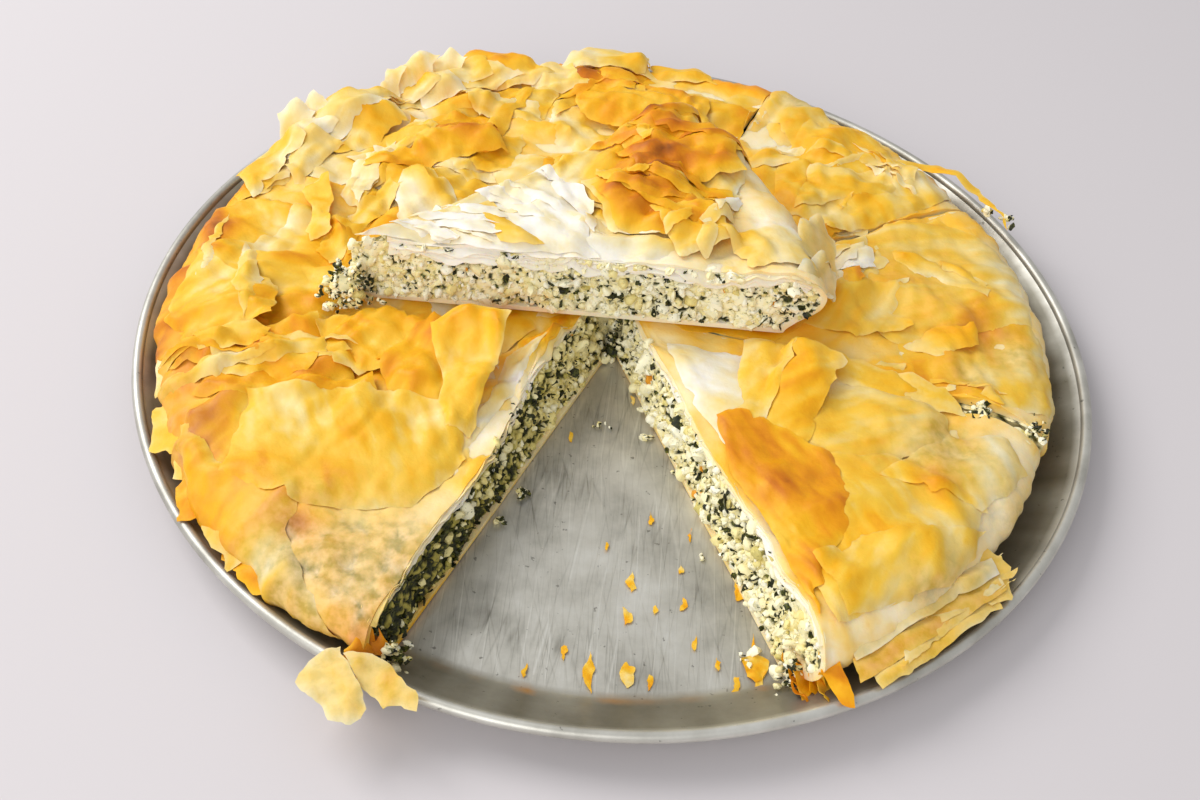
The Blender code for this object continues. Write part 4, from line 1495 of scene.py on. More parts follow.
# The sheets that stand out in the photograph, laid in this order on each slice
PLACED = {
    "left": (
        TornSheet(((-167, -12, 0.5), (-158, 8, 0.5), (-126, -9, 7), (-123, -30, 8), (-155, -37, 1)), 0.5, 4.5,
                  0.5, 0.4, seed=11),
        TornSheet(((-158, -48, 0.5), (-150, -40, 3), (-108, -24, 5), (-104, -36, 2), (-130, -50, 1)), 0.58,
                  1.0, seed=12),
        TornSheet(((-146, -62, 0.5), (-140, -52, 3), (-96, -40, 5), (-90, -52, 2), (-120, -64, 1)), 0.6, 1.0,
                  seed=13),
        TornSheet(((-128, -80, 0.5), (-120, -62, 3), (-84, -50, 4), (-78, -70, 1), (-100, -92, 0.5)), 0.5,
                  1.0, seed=14),
        TornSheet(((-108, -28, 4), (-84, -16, 8), (-66, -26, 6), (-64, -44, 2), (-98, -48, 1)), 0.64, 2.0,
                  0.8, 0.6, root=0.5, seed=15),
        TornSheet(((-84, -44, 1), (-66, -20, 7), (-48, -30, 7), (-52, -58, 2), (-72, -66, 0.5)), 0.72, 4.0,
                  0.6, 0.4, root=0.54, seed=16),
        TornSheet(((-126, -62, 1), (-90, -58, 2), (-54, -60, 1), (-46, -84, 0.6), (-62, -106, 0.6),
                   (-100, -108, 0.8), (-128, -96, 0.6)), 0.5, 1.0, 0.5, 0.3, root=0.46, seed=23, lean=20),
        TornSheet(((-36, -32, 1), (-18, -26, 0.6), (-26, -46, 0.3), (-40, -68, 0.3), (-50, -70, 0.5)), 0.14,
                  0.0, 0.7, 0.3, seed=18),
        TornSheet(((-66, -30, 12), (-52, -24, 16), (-37, -27, 18), (-42, -52, 8), (-46, -74, 0.5),
                   (-56, -72, 1)), 0.36, 0.0, 1.2, 0.5, 0.7, root=0.42, seed=17, lean=0.0),
        TornSheet(((-128, 54, 3), (-119, 58, 5), (-112, 26, 4), (-120, 22, 1)), 0.45, 1.0, seed=19),
        TornSheet(((-152, 88, 0.5), (-120, 120, 2), (-92, 100, 6), (-104, 84, 4), (-134, 72, 1)), 0.5, 3.0,
                  0.8, seed=20),
        TornSheet(((-92, 102, 1), (-56, 114, 1), (-52, 84, 6), (-72, 76, 5), (-90, 80, 3)), 0.6, 3.0, 0.8,
                  seed=21),
        TornSheet(((-24, 138, 1), (36, 132, 1), (36, 112, 5), (0, 108, 5), (-20, 114, 4)), 0.55, 2.0, 0.8,
                  seed=22),
        TornSheet(((-150, -58, 24), (-161, -63, 20), (-158, -80, 17.5), (-149, -84, 22), (-140, -70, 27)),
                  0.5, 0.0, 1.0, 0.6, free=True, seed=111),
        TornSheet(((-144, -97, 20), (-137, -88, 24), (-131, -100, 23), (-134, -107, 18), (-141, -109, 17.5)),
                  0.6, 0.0, 1.0, 0.6, free=True, seed=112),
        TornSheet(((-139, -92, 22), (-132, -88, 25), (-118, -112, 24), (-112, -124, 22), (-120, -128, 17),
                   (-132, -112, 18)), 0.4, 0.0, 1.0, 0.6, free=True, seed=113, thin=0.2),
        TornSheet(((-128, -106, 20), (-121, -108, 23), (-108, -128, 22), (-102, -136, 19), (-110, -136, 16.5),
                   (-121, -124, 17)), 0.8, 0.0, 1.0, 0.6, root=0.66, free=True, seed=114),
        TornSheet(((-78, -156, 21), (-82, -157, 22), (-87, -161, 20), (-90, -168, 19), (-85, -173, 21),
                   (-81, -175, 18.5), (-78, -180, 19), (-71, -181, 18.4), (-67, -176, 20), (-70, -169, 23),
                   (-74, -163, 24)), 0.28, 0.0, 1.6, 0.6, 0.8, free=True, seed=115, thin=0.3),
        TornSheet(((-77, -158, 21), (-74, -163, 24), (-69, -170, 21), (-65, -172, 19), (-62, -176, 21),
                   (-57, -174, 18.5), (-52, -176, 19), (-53, -170, 22), (-57, -167, 23), (-61, -162, 21),
                   (-68, -158, 22)), 0.36, 0.0, 1.6, 0.6, 0.8, free=True, seed=117, thin=0.3),
        TornSheet(((-143, 80, 26), (-134, 84, 28), (-131, 96, 38), (-139, 99, 43), (-147, 94, 37)), 0.2, 0.0,
                  1.4, 0.8, 0.9, free=True, seed=141),
        TornSheet(((-136, 84, 28), (-126, 90, 29), (-124, 100, 40), (-133, 105, 43), (-138, 98, 37)), 0.17,
                  0.0, 1.4, 0.8, 0.9, free=True, seed=142),
        TornSheet(((-128, 90, 29), (-119, 97, 29), (-116, 104, 37), (-124, 107, 40)), 0.28, 0.0, 1.4, 0.8,
                  1.5, free=True, seed=143),
        TornSheet(((-110, 112, 30), (-99, 120, 31), (-97, 131, 40), (-106, 131, 38)), 0.2, 0.0, 1.4, 0.8, 1.5,
                  free=True, seed=144),
        TornSheet(((-100, 122, 31), (-88, 130, 31), (-84, 142, 39), (-93, 141, 42), (-101, 135, 37)), 0.17,
                  0.0, 1.4, 0.8, 1.5, free=True, seed=145),
        TornSheet(((-88, 132, 31), (-76, 137, 31), (-72, 143, 39), (-80, 147, 41), (-88, 142, 36)), 0.26, 0.0,
                  1.4, 0.8, 1.5, free=True, seed=146),
        TornSheet(((-168, -28, 19), (-158, -24, 25), (-152, -46, 25), (-162, -56, 19)), 0.3, 0.0, 1.0, 0.8,
                  free=True, seed=116),
    ),
    "front_right": (
        TornSheet(((18, -20, 0.5), (70, -26, 0.5), (84, -60, 0.5), (40, -74, 0.5), (26, -52, 0.5)), 0.17, 1.5,
                  0.4, 0.3, seed=40),
        TornSheet(((56, -20, 1), (78, -27, 1), (112, -40, 1), (126, -62, 1), (92, -80, 1), (64, -66, 1)),
                  0.44, 2.0, 0.4, 0.3, seed=41),
        TornSheet(((66, -76, 0.5), (96, -70, 1.5), (128, -88, 1), (112, -122, 0.5), (72, -142, 0.5),
                   (58, -120, 0.5)), 0.5, 2.5, 0.6, 0.5, seed=42),
        TornSheet(((66, -24, 10), (88, -24, 10), (67, -71, 1), (52, -68, 1)), 0.52, 1.0, 0.5, 0.5, seed=43),
        TornSheet(((48, -20, 5), (66, -20, 5), (54, -62, 1), (41, -66, 1)), 0.4, 1.0, 0.5, 0.5, seed=44),
        TornSheet(((36, -58, 2), (46, -55, 2.5), (76, -72, 3), (81, -104, 2), (62, -142, 0.5), (54, -119, 1),
                   (38, -83, 1)), 0.76, 1.0, 0.4, 0.5, root=0.7, seed=45, blend=0.3),
        TornSheet(((92, -82, 0.6), (118, -60, 1), (140, -58, 1.5), (146, -72, 1), (126, -92, 0.6)), 0.42, 1.0,
                  0.6, 0.3, seed=46),
        TornSheet(((66, -118, 0.5), (98, -104, 1), (128, -98, 1), (116, -120, 0.5), (78, -138, 0.5)), 0.42,
                  1.0, 0.6, 0.3, seed=47, blend=0.9),
        TornSheet(((78, -143, 23), (98, -130, 24), (117, -114, 24), (129, -106, 22.5), (131, -112, 21),
                   (113, -125, 21.5), (92, -141, 21), (81, -149, 21)), 0.24, 0.0, 1.1, 0.5, 0.5, free=True,
                  seed=121, lean=-50, thin=0.25),
        TornSheet(((80, -148, 21.5), (97, -137, 22), (117, -121, 22), (131, -110, 21), (133, -117, 19.8),
                   (115, -132, 19.8), (92, -149, 19.6), (82, -156, 19.4)), 0.4, 0.0, 1.1, 0.5, 0.5, root=0.55,
                  free=True, seed=122, lean=-50, thin=0.3),
        TornSheet(((86, -152, 20), (98, -144, 20), (117, -129, 20), (129, -119, 19.6), (131, -124, 18.8),
                   (105, -145, 18.5), (89, -157, 18.4)), 0.4, 0.0, 1.1, 0.5, 0.5, free=True, seed=125,
                  lean=-50, thin=0.2),
        TornSheet(((124, -100, 23), (133, -104, 21), (135, -119, 19), (127, -124, 18.8), (120, -115, 21.5)),
                  0.5, 0.0, 0.9, 0.6, root=0.38, free=True, seed=124, thin=0.2),
        TornSheet(((70, -20, 29.4), (84, -22, 31), (100, -30, 31), (113, -38, 30), (104, -47, 29.4),
                   (88, -39, 30), (72, -31, 29.4)), 0.42, 0.0, 1.0, 0.4, free=True, seed=126, lean=60),
        TornSheet(((97, -31, 30), (109, -31, 32), (123, -41, 30.4), (127, -49, 29.2), (114, -47, 30),
                   (101, -40, 30)), 0.34, 0.0, 1.0, 0.4, free=True, seed=127, lean=60),
        TornSheet(((70, -152, 20), (76, -149, 21), (79, -157, 19.4), (80, -164, 18.3), (76, -163, 18.2),
                   (73, -158, 18.6)), 0.84, 0.0, 1.2, 0.6, free=True, seed=123),
    ),
    "right": (
        TornSheet(((74, 36, 0.5), (130, 62, 0.5), (162, 40, 0.5), (160, 2, 0.5), (112, -14, 0.5),
                   (76, -4, 0.5)), 0.44, 2.0, 0.35, 0.2, seed=60),
        TornSheet(((66, 30, 2), (99, 48, 2), (103, 20, 2), (88, 14, 2), (68, 8, 2)), 0.36, 0.5, 0.6, 0.6, 1.2,
                  seed=61),
        TornSheet(((72, 14, 2), (92, 15, 2), (113, 20, 2), (105, 2, 2), (112, -6, 2), (90, -14, 1),
                   (70, -6, 1)), 0.4, 0.5, 0.6, 0.6, 1.3, seed=62),
        TornSheet(((108, -14, 1), (119, -6, 3), (134, -5, 6), (136, -13, 3), (122, -21, 1)), 0.64, 1.0, 0.8,
                  0.6, 1.2, root=0.48, seed=63),
    ),
    "back": (
        TornSheet(((60, 60, 0.5), (80, 124, 0.5), (120, 106, 0.5), (140, 82, 0.5), (120, 62, 0.5),
                   (84, 46, 0.5)), 0.46, 2.0, 0.4, 0.3, seed=70),
        TornSheet(((70, 58, 1), (112, 70, 1), (112, 90, 4), (78, 86, 4)), 0.5, 1.5, 0.6, seed=71),
        TornSheet(((112, 102, 26), (118, 96, 30), (140, 88, 33), (156, 66, 31), (158, 58, 28), (150, 84, 28),
                   (132, 100, 27)), 0.56, 0.0, 0.5, 0.3, free=True, seed=72),
    ),
    "lifted": (
        TornSheet(((62, -15, 59), (72, -15.5, 56), (78, -14, 49), (81, -6, 40), (81, 4, 46), (74, 4, 58),
                   (66, -6, 61)), 0.24, 0.0, 1.4, 0.6, free=True, seed=131, lean=-20, thin=0.3),
        TornSheet(((62, 2, 61), (76, 0, 55), (83, 6, 42), (82, 22, 46), (74, 26, 57), (66, 16, 61)), 0.24,
                  0.0, 1.4, 0.6, free=True, seed=132, lean=0, thin=0.2),
        TornSheet(((-96, -8, 0.5), (-81, 18, 0.5), (-54, 35, 0.5), (-40, 46, 0.5), (-28, 31, 0.5),
                   (-13, 17, 0.5), (-11, -6, 0.5), (0, -20, 0.5), (26, -26, 0.5), (22, -44, 0.5),
                   (-90, -30, 0.5)), 0.05, 0.5, 1.0, 0.2, 0.5, seed=80, lean=52, blend=0.2),
        TornSheet(((-34, 42, 0.5), (24, 86, 0.5), (48, 60, 0.5), (40, 20, 0.5), (0, 10, 0.5)), 0.5, 2.0, 1.2,
                  0.5, seed=81),
        TornSheet(((-6, 60, 1), (24, 80, 1), (44, 52, 5), (8, 40, 6)), 0.62, 2.0, 1.3, seed=82),
        TornSheet(((-4, 48, 1), (36, 60, 2), (46, 40, 5), (10, 28, 6)), 0.7, 2.0, 1.3, seed=83),
        TornSheet(((-16, 28, 2), (24, 34, 3), (30, 14, 3), (-2, 2, 1)), 0.55, 1.0, seed=84),
        TornSheet(((-54, 15, 1), (-50, 18, 1.5), (-43, 8, 2), (-32, -3, 1.5), (-27, -9, 1), (-34, -12, 0.8),
                   (-43, -9, 1), (-48, 1, 1)), 0.36, 0.5, 0.6, 0.3, 0.6, seed=85, lean=49, blend=0.2),
        TornSheet(((-12, 24, 2), (6, 30, 2), (29, 24, 4), (26, 2, 3), (0, 4, 1)), 0.72, 1.5, seed=86),
        TornSheet(((10, 14, 2), (34, 19, 6), (42, 1, 6), (22, -9, 1)), 0.5, 1.0, 1.5, 1.5, seed=87),
        TornSheet(((36, 6, 1), (64, 14, 2), (72, -7, 2), (48, -13, 1)), 0.32, 1.0, seed=88),
    ),
}


# Patches of narrow broken sheets, laid over the others
SPLINTERED = {
    "left": (
        Splinters((-132, -44), (24, 12), 9, 50, 9, 14, 0.54, 0.05, 1.2),
        Splinters((-112, 98), (42, 20), 4, 50, 16, 42, 0.36, 0.04, 0.6),
        Splinters((-44, 130), (44, 10), 4, 50, 14, 5, 0.48, 0.05, 1.0),
        Splinters((-144, 22), (30, 12), 2, 50, 12, 82, 0.36, 0.02, 0.3),
        Splinters((-112, 44), (24, 12), 4, 40, 10, 70, 0.42, 0.06, 1.2),
        Splinters((-78, 84), (30, 12), 3, 44, 13, 28, 0.52, 0.05, 1.2),
        Splinters((-73, -154), (6, 5), 7, 10, 5, 66, 0.78, 0.08, 5.0, 15.0),
        Splinters((-147, -72), (18, 4), 4, 18, 7, -62, 0.5, 0.1, 3.0, 20.0),
    ),
    "front_right": (
        Splinters((108, -128), (22, 6), 6, 46, 5, 40, 0.36, 0.1, 0.5, 20.4, 0.25),
        Splinters((68, -151), (6, 5), 8, 11, 6, 113, 0.72, 0.1, 6.0, 9.0),
    ),
    "right": (
        Splinters((92, 24), (14, 13), 5, 20, 9, 30, 0.3, 0.06, 2.4),
        Splinters((130, 28), (20, 16), 2, 34, 10, -30, 0.46, 0.04, 0.5),
        Splinters((122, -36), (24, 2), 5, 14, 5, -19, 0.4, 0.1, 1.2),
    ),
    "back": (
        Splinters((118, 88), (18, 8), 6, 30, 5, -50, 0.4, 0.06, 3.0),
        Splinters((86, 104), (22, 16), 3, 36, 11, 0, 0.44, 0.05, 1.0),
    ),
    "lifted": (
        Splinters((-64, 4), (12, 12), 8, 40, 6, -16, 0.06, 0.03, 0.3),
        Splinters((-36, 20), (8, 20), 4, 44, 8, -46, 0.05, 0.03, 0.2),
        Splinters((18, 66), (24, 11), 8, 46, 10, 12, 0.66, 0.06, 1.2),
        Splinters((10, 28), (22, 11), 6, 38, 9, -12, 0.7, 0.06, 1.2),
        Splinters((32, 10), (13, 8), 6, 18, 7, 50, 0.38, 0.06, 1.6),
    ),
}


@dataclass
class SheetCover:
    """All the loose sheets of one slice: big ones below, then smaller ones, then those that stand out."""

    form: SliceForm
    finish: bpy.types.Material
    big: int
    middling: int
    scraps: int
    frill: int = 0

    def build(self) -> None:
        """Lay every sheet of the slice and make one piece of each kind."""
        form = self.form
        maker = SheetMaker(form, Pile(form))
        draw = np.random.default_rng(form.seed + 7)
        broken = [sheet for number, patch in enumerate(SPLINTERED[form.name])
                  for sheet in patch.sheets(form.seed * 17 + number * 101)]
        kinds = (("big_sheets", 1.8, self.scattered(draw, self.big, (24.0, 42.0), 0.03)),
                 ("torn_sheets", 1.5, self.scattered(draw, self.middling, (10.0, 22.0), 0.045)),
                 ("placed_sheets", 1.45, PLACED[form.name]),
                 ("broken_sheets", 1.2, broken),
                 ("frilled_sheets", 1.1, self.frilled(draw)),
                 ("scraps", 0.8, self.scattered(draw, self.scraps, (2.5, 6.0), 0.08)))
        for kind, step, sheets in kinds:
            bundle = Bundle("%s_%s" % (kind, form.name))
            for sheet in sheets:
                maker.lay(bundle, sheet, step)
            if bundle.count:
                adopt(bundle.make(), self.finish, "pastry")

    def scattered(self, draw: np.random.Generator, count: int, radii: tuple[float, float], spread: float
                  ) -> tuple[TornSheet, ...]:
        """Draw sheets all over the slice, away from where the filling shows through.

        Args:
            draw: The seeded random numbers.
            count: How many sheets to try.
            radii: Least and most radius of a sheet.
            spread: How much the bake differs from sheet to sheet.

        Returns:
            The sheets.
        """
        form = self.form
        sheets = []
        for number in range(count):
            share = (number + draw.uniform(0.1, 0.9)) / count
            share = (share * 7.0) % 1.0 if count > 7 else share
            outer = form.radius(share) - 4.0
            first = POINT_RADIUS + form.bare + 6.0
            run = math.sqrt(draw.uniform((first / outer) ** 2, 1.0)) * outer
            x, y = form.place(np.array(run), np.array(share))
            size = draw.uniform(*radii)
            turn, sides = draw.uniform(0.0, 2.0 * math.pi), int(draw.integers(6, 11))
            stretch = draw.uniform(1.1, 1.7)
            angles = (np.arange(sides) + draw.uniform(-0.3, 0.3, sides)) * 2.0 * math.pi / sides
            reach = size * (0.45 + 0.75 * draw.beta(1.1, 1.1, sides))
            raised = draw.gamma(2.0, 1.0, sides) * (draw.uniform(0.0, 1.0, sides) < 0.07)
            along, across = reach * np.cos(angles) * stretch, reach * np.sin(angles) / stretch
            if float(form.shown(x, y)) > 0.25 or float(form.calm(x, y)) > 0.5:
                continue
            bake = float(form.baked(x, y)) + draw.normal(0.0, spread)
            sheets.append(TornSheet(turned_corners(x, y, along, across, raised, turn), bake, curl=0.4,
                                    blend=0.95, seed=form.seed * 31 + number * 7))
        return tuple(sheets)

    def frilled(self, draw: np.random.Generator) -> tuple[TornSheet, ...]:
        """Draw the pale dry sheets that stand up along the back of the rim.

        Args:
            draw: The seeded random numbers.

        Returns:
            The sheets.
        """
        form = self.form
        sheets = []
        for number in range(self.frill):
            angle = 82.0 + 78.0 * (number + draw.uniform(-0.5, 0.9)) / max(self.frill, 1)
            wide, first = draw.uniform(3.0, 8.0), draw.uniform(136.0, 156.0)
            deep, tall = draw.uniform(9.0, 20.0), draw.uniform(2.0, 9.0)
            skew = draw.uniform(-0.6, 0.6) * wide
            corners = (around(angle - wide, first, 0.2),
                       around(angle - 0.7 * wide + skew, first + deep, tall * draw.uniform(0.4, 1.2)),
                       around(angle + skew, first + deep * 1.2, tall * draw.uniform(0.6, 1.5)),
                       around(angle + 0.8 * wide + skew, first + 0.8 * deep, tall),
                       around(angle + wide, first, 0.2))
            sheets.append(TornSheet(corners, draw.uniform(0.28, 0.42), ragged=0.9, curl=0.6,
                                    seed=form.seed * 13 + number * 5, lean=angle))
        return tuple(sheets)


@dataclass
class FillingBody:
    """The crumbled filling of one slice, with curds and leaves standing out of its cut faces."""

    form: SliceForm
    finish: bpy.types.Material
    cell: float = 0.7
    curds: int = 850
    leaves: int = 600
    low: float = PIE_BOTTOM + BASE_PASTRY + 0.1
    high: float = PIE_TOP - TOP_PASTRY - 0.1
    point: float = 3.4
    inset: float = 1.5
    # Away from the cuts the top stays below the crust's deepest wrinkles
    sink: float = 2.0

    def outer_radius(self, height: Grid, share: Grid | float) -> Grid:
        """How far out the filling reaches at a height."""
        offset = np.interp(height, EDGE_POINTS[::-1, 1], EDGE_POINTS[::-1, 0])
        return self.form.radius(share) + offset - self.inset

    def local_painted_shade(self, run: Grid) -> Grid:
        """Painted shade on a cut face, drawn as extra dark leaf and darker curds, growing towards the pie's
        edge.
        """
        return self.form.painted_face_shade * np.interp(run, (30.0, 120.0), (0.3, 1.6))

    def face_relief(self, run: Grid, height: Grid, seed: int) -> tuple[Grid, Grid, Grid]:
        """Relief and colours of one cut face.

        Args:
            run: Distance from the slice's point.
            height: Height over the tin's underside.
            seed: Which face.

        Returns:
            Relief in mm, how green, and the curd's tone.
        """
        big, big_name = lumps(run, height, 4.0, seed)
        small, small_name = lumps(run + 0.8 * rough_noise(run, height, 3.0, seed + 3), height, 1.9, seed + 9)
        hollow = rough_noise(run, height, 11.0, seed + 15)
        spread = 0.2 * rough_noise(run, height, 5.0, seed + 17)
        spread = spread + 0.16 * rough_noise(run, height, 15.0, seed + 19)
        # The face's painted shade is drawn here as extra dark leaf
        green = ease(0.76, 0.85, small_name + spread + self.local_painted_shade(run))
        relief = 1.4 * big + 0.9 * small + 1.3 * hollow - 1.8 - 0.7 * green
        # Painted shade: the curds' tone darkens in the hollows between lumps, and further where the face has
        # painted shade
        tone = 0.14 + 0.45 * big_name * small_name + 0.4 * (1.0 - small) + 1.6 * self.local_painted_shade(run)
        return relief, green, np.clip(tone, 0.0, 0.9)

    def build(self) -> None:
        """Build the filling and what stands out of it."""
        form = self.form
        is_open = form.open_start or form.open_end
        radial = int((form.radius(0.5) - 12.0) / self.cell) if is_open else 90
        levels = int((self.high - self.low) / self.cell) if is_open else 14
        turns = max(6, int((form.end - form.start) / 6.0))
        along, height, share = np.meshgrid(np.linspace(0.0, 1.0, radial + 1),
                                           np.linspace(self.low, self.high, levels + 1),
                                           np.linspace(0.0, 1.0, turns + 1), indexing="ij")
        radius = self.point + (self.outer_radius(height, share) - self.point) * along
        aside, green, tone = np.zeros(radius.shape), np.zeros(radius.shape), np.full(radius.shape, 0.3)
        ends = [(0, -1.0, form.open_start, form.seed + 600), (-1, 1.0, form.open_end, form.seed + 650)]
        for layer, outward, cut_open, seed in ends:
            relief, leaf, curd = self.face_relief(radius[..., layer], height[..., layer], seed)
            relief = relief if cut_open else np.minimum(relief, 0.1)
            border = ease(0.0, 0.02, along[..., layer]) * ease(0.0, 0.03, 1.0 - along[..., layer])
            aside[..., layer] = outward * relief * border
            green[..., layer] = leaf
            tone[..., layer] = curd
        x, y = form.place(radius, share, aside)
        sunk = np.zeros(height.shape)
        sunk[..., 1:-1] = self.sink * (height[..., 1:-1] - self.low) / (self.high - self.low)
        lattice = form.slope_cuts(np.stack([x, y, height - sunk + form.lift], -1), True)
        body = solid_from_lattice("filling_mass_" + form.name, lattice, {"green": green, "tone": tone})
        adopt(body, self.finish, "filling", "filling_" + form.name)
        for layer, outward, cut_open, seed in ends:
            if cut_open:
                self.loose_bits(0.0 if layer == 0 else 1.0, outward, seed)

    def loose_bits(self, end: float, outward: float, seed: int) -> None:
        """Make the curds and leaf scraps that stand out of one cut face.

        Args:
            end: Share of the slice's angle where the face lies.
            outward: 1 where outward turns anticlockwise, else -1.
            seed: Which draw.
        """
        form = self.form
        draw = np.random.default_rng(seed)
        for kind, count in ((Crumb.CURD, self.curds), (Crumb.LEAF, self.leaves)):
            height = draw.uniform(self.low + 0.5, self.high - 0.3, count)
            reach = self.outer_radius(height, end) - 1.0
            run = 4.0 + draw.uniform(0.0, 1.0, count) * (reach - 4.0)
            crowd = rough_noise(run, height, 15.0, seed + 19) if kind is Crumb.LEAF else 0.0 * run
            # Where the face has painted shade, fewer curds and more dark leaves are kept, and the curds are
            # painted darker
            chance = 1.7 * self.local_painted_shade(run) if kind is Crumb.CURD else 0.2 - 1.1 * crowd - form.painted_face_shade
            kept = draw.uniform(0.0, 1.0, count) > chance
            height, run = height[kept], run[kept]
            count = len(run)
            relief = self.face_relief(run, height, seed)[0]
            x, y = form.place(run, end, outward * (relief + draw.normal(0.35, 0.35, count)))
            places = form.slope_cuts(np.stack([x, y, height + form.lift], 1), True)
            adopt(scatter_bits("%s_%s_%d" % (kind.value, form.name, int(end)), kind, places, draw,
                               painted_curd_shade=1.4 * form.painted_face_shade), self.finish, "filling")


def scatter_bits(name: str, kind: Crumb, places: Grid, draw: np.random.Generator, scale: float = 1.0,
                 painted_curd_shade: float = 0.0) -> bpy.types.Object:
    """Join many small curds or leaf scraps into one mesh.

    Args:
        name: The piece's name.
        kind: Curds or leaf scraps.
        places: Centres in mm, shaped (count, 3).
        draw: The seeded random numbers.
        scale: Size against the usual one.
        painted_curd_shade: How far painted shade darkens the curds.

    Returns:
        The joined object with its green and tone marks.
    """
    bundle = Bundle(name)
    curd = kind is Crumb.CURD
    shapes = (ball_shape(1), ball_shape(2)) if curd else (scrap_shape(),)
    for centre in places:
        size = scale * (draw.gamma(4.0, 0.26) if curd else draw.gamma(4.0, 0.22))
        shape, faces = shapes[int(curd and size > 0.8)]
        pull = draw.uniform(0.5, 1.3, 3) if curd else draw.uniform((0.4, 0.3, 0.8), (1.4, 0.9, 1.4))
        shift = draw.uniform(0.0, 50.0)
        lumpy = smooth_noise(shape[:, 0] + shift, shape[:, 1] + 0.7 * shape[:, 2], 0.8, 3)
        shaken = shape * (1.0 + 0.45 * lumpy[:, None] if curd else 1.0)
        shaken = shaken + 0.1 * draw.normal(0.0, 1.0, shape.shape)
        axis = Vector(draw.normal(0.0, 1.0, 3)).normalized()
        turn = np.array(Matrix.Rotation(draw.uniform(0.0, 2.0 * math.pi), 3, axis))
        # The curds' tone is darkened by the face's painted shade
        tone = min(0.9, draw.beta(1.0, 2.6) * 0.85 + painted_curd_shade * draw.random()) if draw.random() > 0.006 else 1.0
        bundle.add((shaken * pull * size) @ turn.T + centre, faces,
                   {"green": np.full(len(shape), 0.0 if curd else 1.0), "tone": np.full(len(shape), tone)})
    return bundle.make()


def ball_shape(cuts: int) -> tuple[Grid, Grid]:
    """Points and triangles of a small ball of radius 1, subdivided a number of times.

    Args:
        cuts: How many times.

    Returns:
        The points and triangles.
    """
    ball = bmesh.new()
    bmesh.ops.create_icosphere(ball, subdivisions=cuts, radius=1.0)
    ball.verts.ensure_lookup_table()
    points = np.array([vertex.co[:] for vertex in ball.verts])
    faces = np.array([[vertex.index for vertex in face.verts] for face in ball.faces])
    ball.free()
    return points, faces


def scrap_shape() -> tuple[Grid, Grid]:
    """Points and triangles of a thin bent scrap about 2 across.

    Returns:
        The points and triangles.
    """
    u, v = np.meshgrid(np.linspace(-1.0, 1.0, 4), np.linspace(-1.0, 1.0, 3), indexing="ij")
    bend = 0.25 * u * u - 0.2 * v
    points = [np.stack([u * (1.0 - 0.2 * v * v), v, bend + side], -1).reshape(-1, 3) for side in (0.1, -0.1)]
    faces, count = grid_faces(4, 3)
    return np.concatenate(points), close_faces(faces, count)


